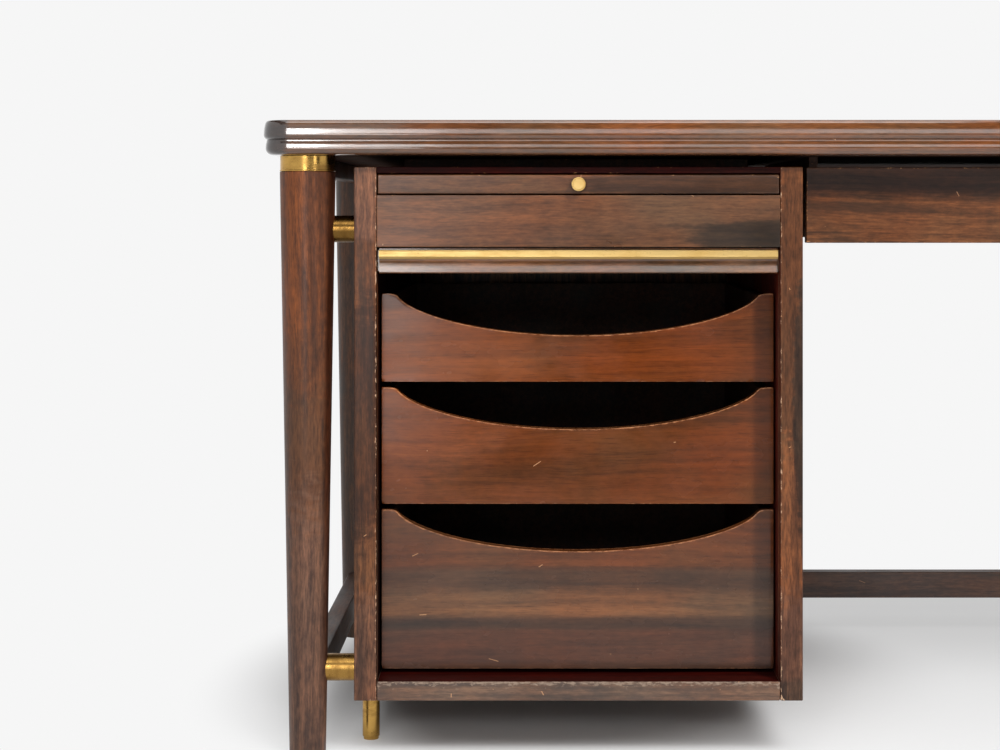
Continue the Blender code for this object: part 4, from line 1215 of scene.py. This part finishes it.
def scooped_front(bm, low, high):
    """Drawer front built in columns from its straight lower edge to its dipped upper edge."""
    shape = bpy.context.scene.desk_shape
    wear = bm.verts.layers.float["wear"]
    half, height, margin = (high.x - low.x) / 2, high.z - low.z, shape.margin
    middle = (low.x + high.x) / 2
    inner, columns_each_side = half - margin, 60
    side_wear, foot_wear, crest_wear = 0.4, 0.7, 1.0
    turns = [QUARTER * (step / columns_each_side - 1) for step in range(2 * columns_each_side + 1)]
    columns = [-half] + [inner * math.sin(turn) for turn in turns] + [half]
    faces = []
    for y in (low.y, high.y):
        grid = []
        for across in columns:
            top = height - scoop_dip(across, half - shape.ear, shape.sag)
            at_side = abs(across) == half
            levels = ((0.0, foot_wear), (margin, 0.0), (top / 2, 0.0), (top - margin, 0.0), (top, crest_wear))
            column = []
            for level, worn in levels:
                vert = bm.verts.new((middle + across, y, low.z + level))
                vert[wear] = max(worn, side_wear) if at_side else worn
                column.append(vert)
            grid.append(column)
        for left, right in zip(grid, grid[1:]):
            for row in range(len(left) - 1):
                bm.faces.new((left[row], right[row], right[row + 1], left[row + 1]))
        faces.append([column[0] for column in grid] + grid[-1][1:]
                     + [column[-1] for column in grid[-2::-1]] + grid[0][-2:0:-1])
    rims, crest = [], [bm.verts.new((vert.co.x, (low.y + high.y) / 2, vert.co.z)) for vert in faces[0]]
    for index in range(len(crest)):
        front, back = (face[index - 1] for face in faces)
        front_next, back_next = (face[index] for face in faces)
        bm.faces.new((front, front_next, crest[index], crest[index - 1]))
        bm.faces.new((crest[index - 1], crest[index], back_next, back))
        rims += [bm.edges.get((front, front_next)), bm.edges.get((back, back_next))]
    radius = 0.6 * shape.edge
    made = bmesh.ops.bevel(bm, geom=rims, offset=radius, segments=ROUND_STEPS, profile=0.5, affect="EDGES")
    for vert in made["verts"]:
        at_side = half - abs(vert.co.x - middle) < radius
        at_crest = vert.co.z - low.z > height * 0.4
        vert[wear] = side_wear if at_side else crest_wear if at_crest else foot_wear


def drawer_box(name, wall):
    """Drawer's sides and back with dovetailed corners, and its floor."""
    low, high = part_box(f"{name}_box")
    floor_low, floor_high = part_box(f"{name}_floor")
    edge, lap, groove = 0.0012, 0.0004, 0.004
    bm = start()
    plank(bm, low, (low.x + wall, high.y, high.z), edge)
    plank(bm, (high.x - wall, low.y, low.z), high, edge)
    plank(bm, (low.x + wall - lap, high.y - wall, low.z), (high.x - wall + lap, high.y - 0.0002, high.z), edge)
    finish_node(f"{name}_box", bm, "inner_stain", "yzx")
    bm = start()
    plank(bm, floor_low - Vector((groove, 0, 0)), floor_high + Vector((groove, groove, 0)), 0.0005)
    finish_node(f"{name}_floor", bm, "inner_stain", "xyz")
    width, height = high.x - low.x, high.z - low.z
    count = max(2, round(height / 0.030))
    pitch = height / count
    wide, narrow, deep, sunk, proud = pitch * 0.34, pitch * 0.24, 0.0105, 0.0010, 0.00012
    tail = [(0.0002, -wide), (deep, -narrow), (deep, narrow), (0.0002, wide)]
    for end, x, y, turn in (("front", high.x, low.y, 0.0), ("rear", low.x, high.y, math.pi)):
        bm = start()
        prism(bm, tail, -sunk, proud, place_side)
        prism(bm, tail, -width - proud, -width + sunk, place_side)
        places = [(x, y, low.z + pitch * (row + 0.5)) for row in range(count)]
        repeat(f"{name}_{end}_tails", bm, places, (0, 0, turn), (0, 0, 0), "inner_stain", "xzy",
               BODY_OF[f"{name}_box"])


class DESK_OT_drawers(bpy.types.Operator):
    """Build the three scooped drawers and their runners"""
    bl_idname = "desk.drawers"
    bl_label = "Drawers"

    def execute(self, context):
        shape = context.scene.desk_shape
        finishes = {"top": "drawer_lacquer", "middle": "drawer_lacquer", "bottom": "banded_lacquer"}
        for place, finish in finishes.items():
            name = f"drawer_{place}"
            low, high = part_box(f"{name}_front")
            bm = start()
            scooped_front(bm, low, high)
            finish_node(f"{name}_front", bm, finish, "xzy")
            drawer_box(name, shape.wall)
            for side in ("left", "right"):
                board(f"{name}_runner_{side}", "inner_stain", "yzx")
        return {"FINISHED"}


class DESK_OT_kneehole_drawer(bpy.types.Operator):
    """Build the shallow kneehole drawer and its hangers"""
    bl_idname = "desk.kneehole_drawer"
    bl_label = "Kneehole drawer"

    def execute(self, context):
        board("kneehole_drawer_front", "apron_lacquer", "xzy")
        knob("kneehole_drawer_knob")
        drawer_box("kneehole_drawer", context.scene.desk_shape.wall)
        web, thickness = 0.010, 0.008
        for side in ("left", "right"):
            low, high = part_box(f"kneehole_hanger_{side}")
            outer, inner = (low.x, high.x) if side == "left" else (high.x, low.x)
            step = math.copysign(web, inner - outer)
            section = [(outer, low.z), (inner, low.z), (inner, low.z + thickness),
                       (outer + step, low.z + thickness), (outer + step, high.z), (outer, high.z)]
            bm = start()
            rounding = [0.001, 0.001, 0.001, 0.0005, 0.0005, 0.0005]
            prism(bm, fillet(section, rounding, 3), low.y, high.y, place_front, 0.0006)
            finish_node(f"kneehole_hanger_{side}", bm, "inner_stain", "yzx")
        return {"FINISHED"}


def lamp(name, place, target, width, height, radiance):
    """Rectangular soft lamp of an even brightness, aimed at a target."""
    data = bpy.data.lights.new(name, "AREA")
    data.shape = "RECTANGLE"
    data.size, data.size_y = width, height
    data.energy = radiance * math.pi * width * height
    light = into_scene(name, data)
    light.location = place
    light.rotation_euler = (Vector(target) - Vector(place)).to_track_quat("-Z", "Y").to_euler()
    light.visible_camera = False
    return light


def seen_directly(graph):
    """1 for rays from the camera, from gloss and through glass, else 0."""
    rays = graph.add("ShaderNodeLightPath").node.outputs
    either = graph.math("MAXIMUM", rays["Is Camera Ray"], rays["Is Glossy Ray"])
    return graph.math("MAXIMUM", either, rays["Is Transmission Ray"])


class DESK_OT_stage(bpy.types.Operator):
    """Build the floor, the lamps and the camera"""
    bl_idname = "desk.stage"
    bl_label = "Stage"

    def execute(self, context):
        stage = context.scene.desk_stage
        floor = self.floor(stage.paper)
        self.world(context.scene, stage)
        left, right, far, ceiling = -0.85, 0.08, -3.9, 3.4
        self.dark_card("dark_card", (left, far, 0.002), (right, far, ceiling))
        self.dark_card("dark_floor", (left, far, 0.003), (right, -2.2, 0.003))
        self.dark_card("dark_right_card", (right, far, 0.35), (5.0, far, ceiling))
        self.dark_card("dark_ceiling", (-4.0, -5.0, ceiling), (4.0, 3.0, ceiling))
        key_place, centre = (1.08, -2.35, 2.80), (-0.38, -0.33, 0.42)
        key = lamp("key", key_place, centre, width=0.26, height=0.26, radiance=460)
        self.light_only(key, floor, "EXCLUDE")
        floor_key = lamp("floor_key", key_place, centre, width=1.5, height=1.5, radiance=13.8)
        self.light_only(floor_key, floor, "INCLUDE")
        key.visible_glossy = floor_key.visible_glossy = False
        lamp("high_softbox", (-0.3, -2.3, 2.9), (-0.3, -0.3, 0.5), width=2.0, height=1.0, radiance=4.0)
        lamp("left_strip", (-1.13, -3.5, 1.28), (-1.13, 0, 1.28), width=0.18, height=0.55, radiance=33.0)
        lamp("middle_strip", (-0.87, -3.5, 1.28), (-0.87, 0, 1.28), width=0.34, height=0.40, radiance=5.5)
        lamp("right_strip", (0.45, -3.5, 1.28), (0.45, 0, 1.28), width=2.3, height=0.40, radiance=2.6)
        lamp("low_panel", (-0.965, -3.5, 0.43), (-0.965, 0, 0.43), width=0.43, height=0.85, radiance=5.4)
        lamp("right_post", (0.95, -2.5, 0.9), (-0.7, -0.33, 0.6), width=0.20, height=1.2, radiance=6.0)
        lamp("overhead", (-0.2, -0.6, 2.7), (-0.2, -0.5, 0), width=2.6, height=1.8, radiance=1.7)
        data = bpy.data.cameras.new("camera")
        data.sensor_width = 36
        data.lens = stage.lens
        data.shift_x, data.shift_y = -0.036, -0.161
        camera = into_scene("camera", data)
        camera.location = stage.eye
        camera.rotation_euler = (QUARTER, 0, 0)
        context.scene.camera = camera
        context.scene.view_settings.view_transform = "Standard"
        return {"FINISHED"}

    def floor(self, paper):
        """Pale floor that keeps the shadow near the desk, painted lighter around the pedestal, and melts into
        the background farther off.
        """
        mesh = bpy.data.meshes.new("floor")
        reach = 9.0
        mesh.from_pydata([(-reach, -reach, 0), (reach, -reach, 0), (reach, reach, 0), (-reach, reach, 0)], [],
                         [(0, 1, 2, 3)])
        graph, shader = new_material("floor_paper")
        place = graph.add("ShaderNodeTexCoord", out="Object")
        tooth = graph.noise(place, (60, 60, 60))
        graph.put(shader.inputs["Base Color"], graph.mix(tooth, (0.83, 0.83, 0.83, 1), (0.85, 0.85, 0.85, 1)))
        shader.inputs["Roughness"].default_value = 0.9
        shader.inputs["Specular IOR Level"].default_value = 0.1
        from_desk = ellipse_distance(graph, place, (-0.05, 0.05, 0.0), (0.75, 0.75, 1.0))
        # Glow mixed in around the pedestal, up to 0.55 of it, paints the cast shadow there lighter.
        from_pedestal = ellipse_distance(graph, place, (-0.45, 0.08, 0.0), (0.55, 0.54, 1.0))
        lightened_shadow = graph.spread(from_pedestal, 0.60, 1.10, 0.0, 0.55)
        share = graph.math("MAXIMUM", graph.spread(from_desk, 0.75, 1.15), lightened_shadow)
        share = graph.math("MULTIPLY", share, seen_directly(graph))
        glow = graph.add("ShaderNodeEmission", {0: (paper, paper, paper, 1), 1: 1.0})
        mixed = graph.add("ShaderNodeMixShader", {0: share, 1: shader.outputs[0], 2: glow})
        graph.put(graph.tree.nodes["Material Output"].inputs["Surface"], mixed)
        mesh.materials.append(bpy.data.materials["floor_paper"])
        floor = into_scene("floor", mesh)
        return floor

    def light_only(self, light, floor, state):
        """Let a lamp reach the floor alone, or everything but the floor."""
        reached = bpy.data.collections.new(f"{light.name}_reach")
        reached.objects.link(floor)
        reached.collection_objects[0].light_linking.link_state = state
        light.light_linking.receiver_collection = reached

    def world(self, scene, stage):
        """Even fill light, and the pale background wherever it is seen."""
        world = bpy.data.worlds.new("studio")
        scene.world = world
        world.use_nodes = True
        graph = Graph(world.node_tree)
        fill = world.node_tree.nodes["Background"]
        fill.inputs[0].default_value = (1, 1, 1, 1)
        fill.inputs[1].default_value = stage.fill
        pale = graph.add("ShaderNodeBackground", {0: (stage.paper, stage.paper, stage.paper, 1), 1: 1.0})
        mixed = graph.add("ShaderNodeMixShader", {0: seen_directly(graph), 1: fill.outputs[0], 2: pale})
        graph.put(world.node_tree.nodes["World Output"].inputs["Surface"], mixed)

    def dark_card(self, name, low, high):
        """Dark card away from the desk that only the gloss sees, so that the lacquer keeps its depth."""
        mesh = bpy.data.meshes.new(name)
        corners = [low, (high[0], low[1], low[2]), high, (low[0], high[1], high[2])]
        mesh.from_pydata(corners, [], [(0, 1, 2, 3)])
        _, shader = new_material(f"{name}_black")
        shader.inputs["Base Color"].default_value = (0.02, 0.02, 0.02, 1)
        shader.inputs["Roughness"].default_value = 1.0
        mesh.materials.append(bpy.data.materials[f"{name}_black"])
        card = into_scene(name, mesh)
        card.visible_camera = card.visible_diffuse = card.visible_shadow = card.visible_transmission = False


OPERATORS = (DESK_OT_finishes, DESK_OT_desktop, DESK_OT_legs, DESK_OT_rails, DESK_OT_case, DESK_OT_brasswork,
             DESK_OT_writing_slide, DESK_OT_tambour, DESK_OT_drawers, DESK_OT_kneehole_drawer, DESK_OT_stage)


class DESK_PT_pieces(bpy.types.Panel):
    """Sidebar list of the desk's pieces and settings"""
    bl_idname = "DESK_PT_pieces"
    bl_label = "Tambour desk"
    bl_space_type = "VIEW_3D"
    bl_region_type = "UI"
    bl_category = "Desk"

    def draw(self, context):
        for group in (context.scene.desk_shape, context.scene.desk_finish, context.scene.desk_stage):
            for key in group.__annotations__:
                self.layout.prop(group, key)
        for operator in OPERATORS:
            self.layout.operator(operator.bl_idname)


GROUPS = {"desk_shape": DeskShape, "desk_finish": DeskFinish, "desk_stage": DeskStage}


def register():
    """Register the groups, operators and panel."""
    for name, group in GROUPS.items():
        bpy.utils.register_class(group)
        setattr(bpy.types.Scene, name, PointerProperty(type=group))
    for kind in (*OPERATORS, DESK_PT_pieces):
        bpy.utils.register_class(kind)


def unregister():
    """Take everything out again."""
    for kind in reversed((*OPERATORS, DESK_PT_pieces)):
        bpy.utils.unregister_class(kind)
    for name, group in GROUPS.items():
        delattr(bpy.types.Scene, name)
        bpy.utils.unregister_class(group)


def main():
    """Build the whole desk and its stage."""
    register()
    for operator in OPERATORS:
        group, name = operator.bl_idname.split(".")
        getattr(getattr(bpy.ops, group), name)()
    bpy.context.view_layer.update()


if __name__ == "__main__":
    main()
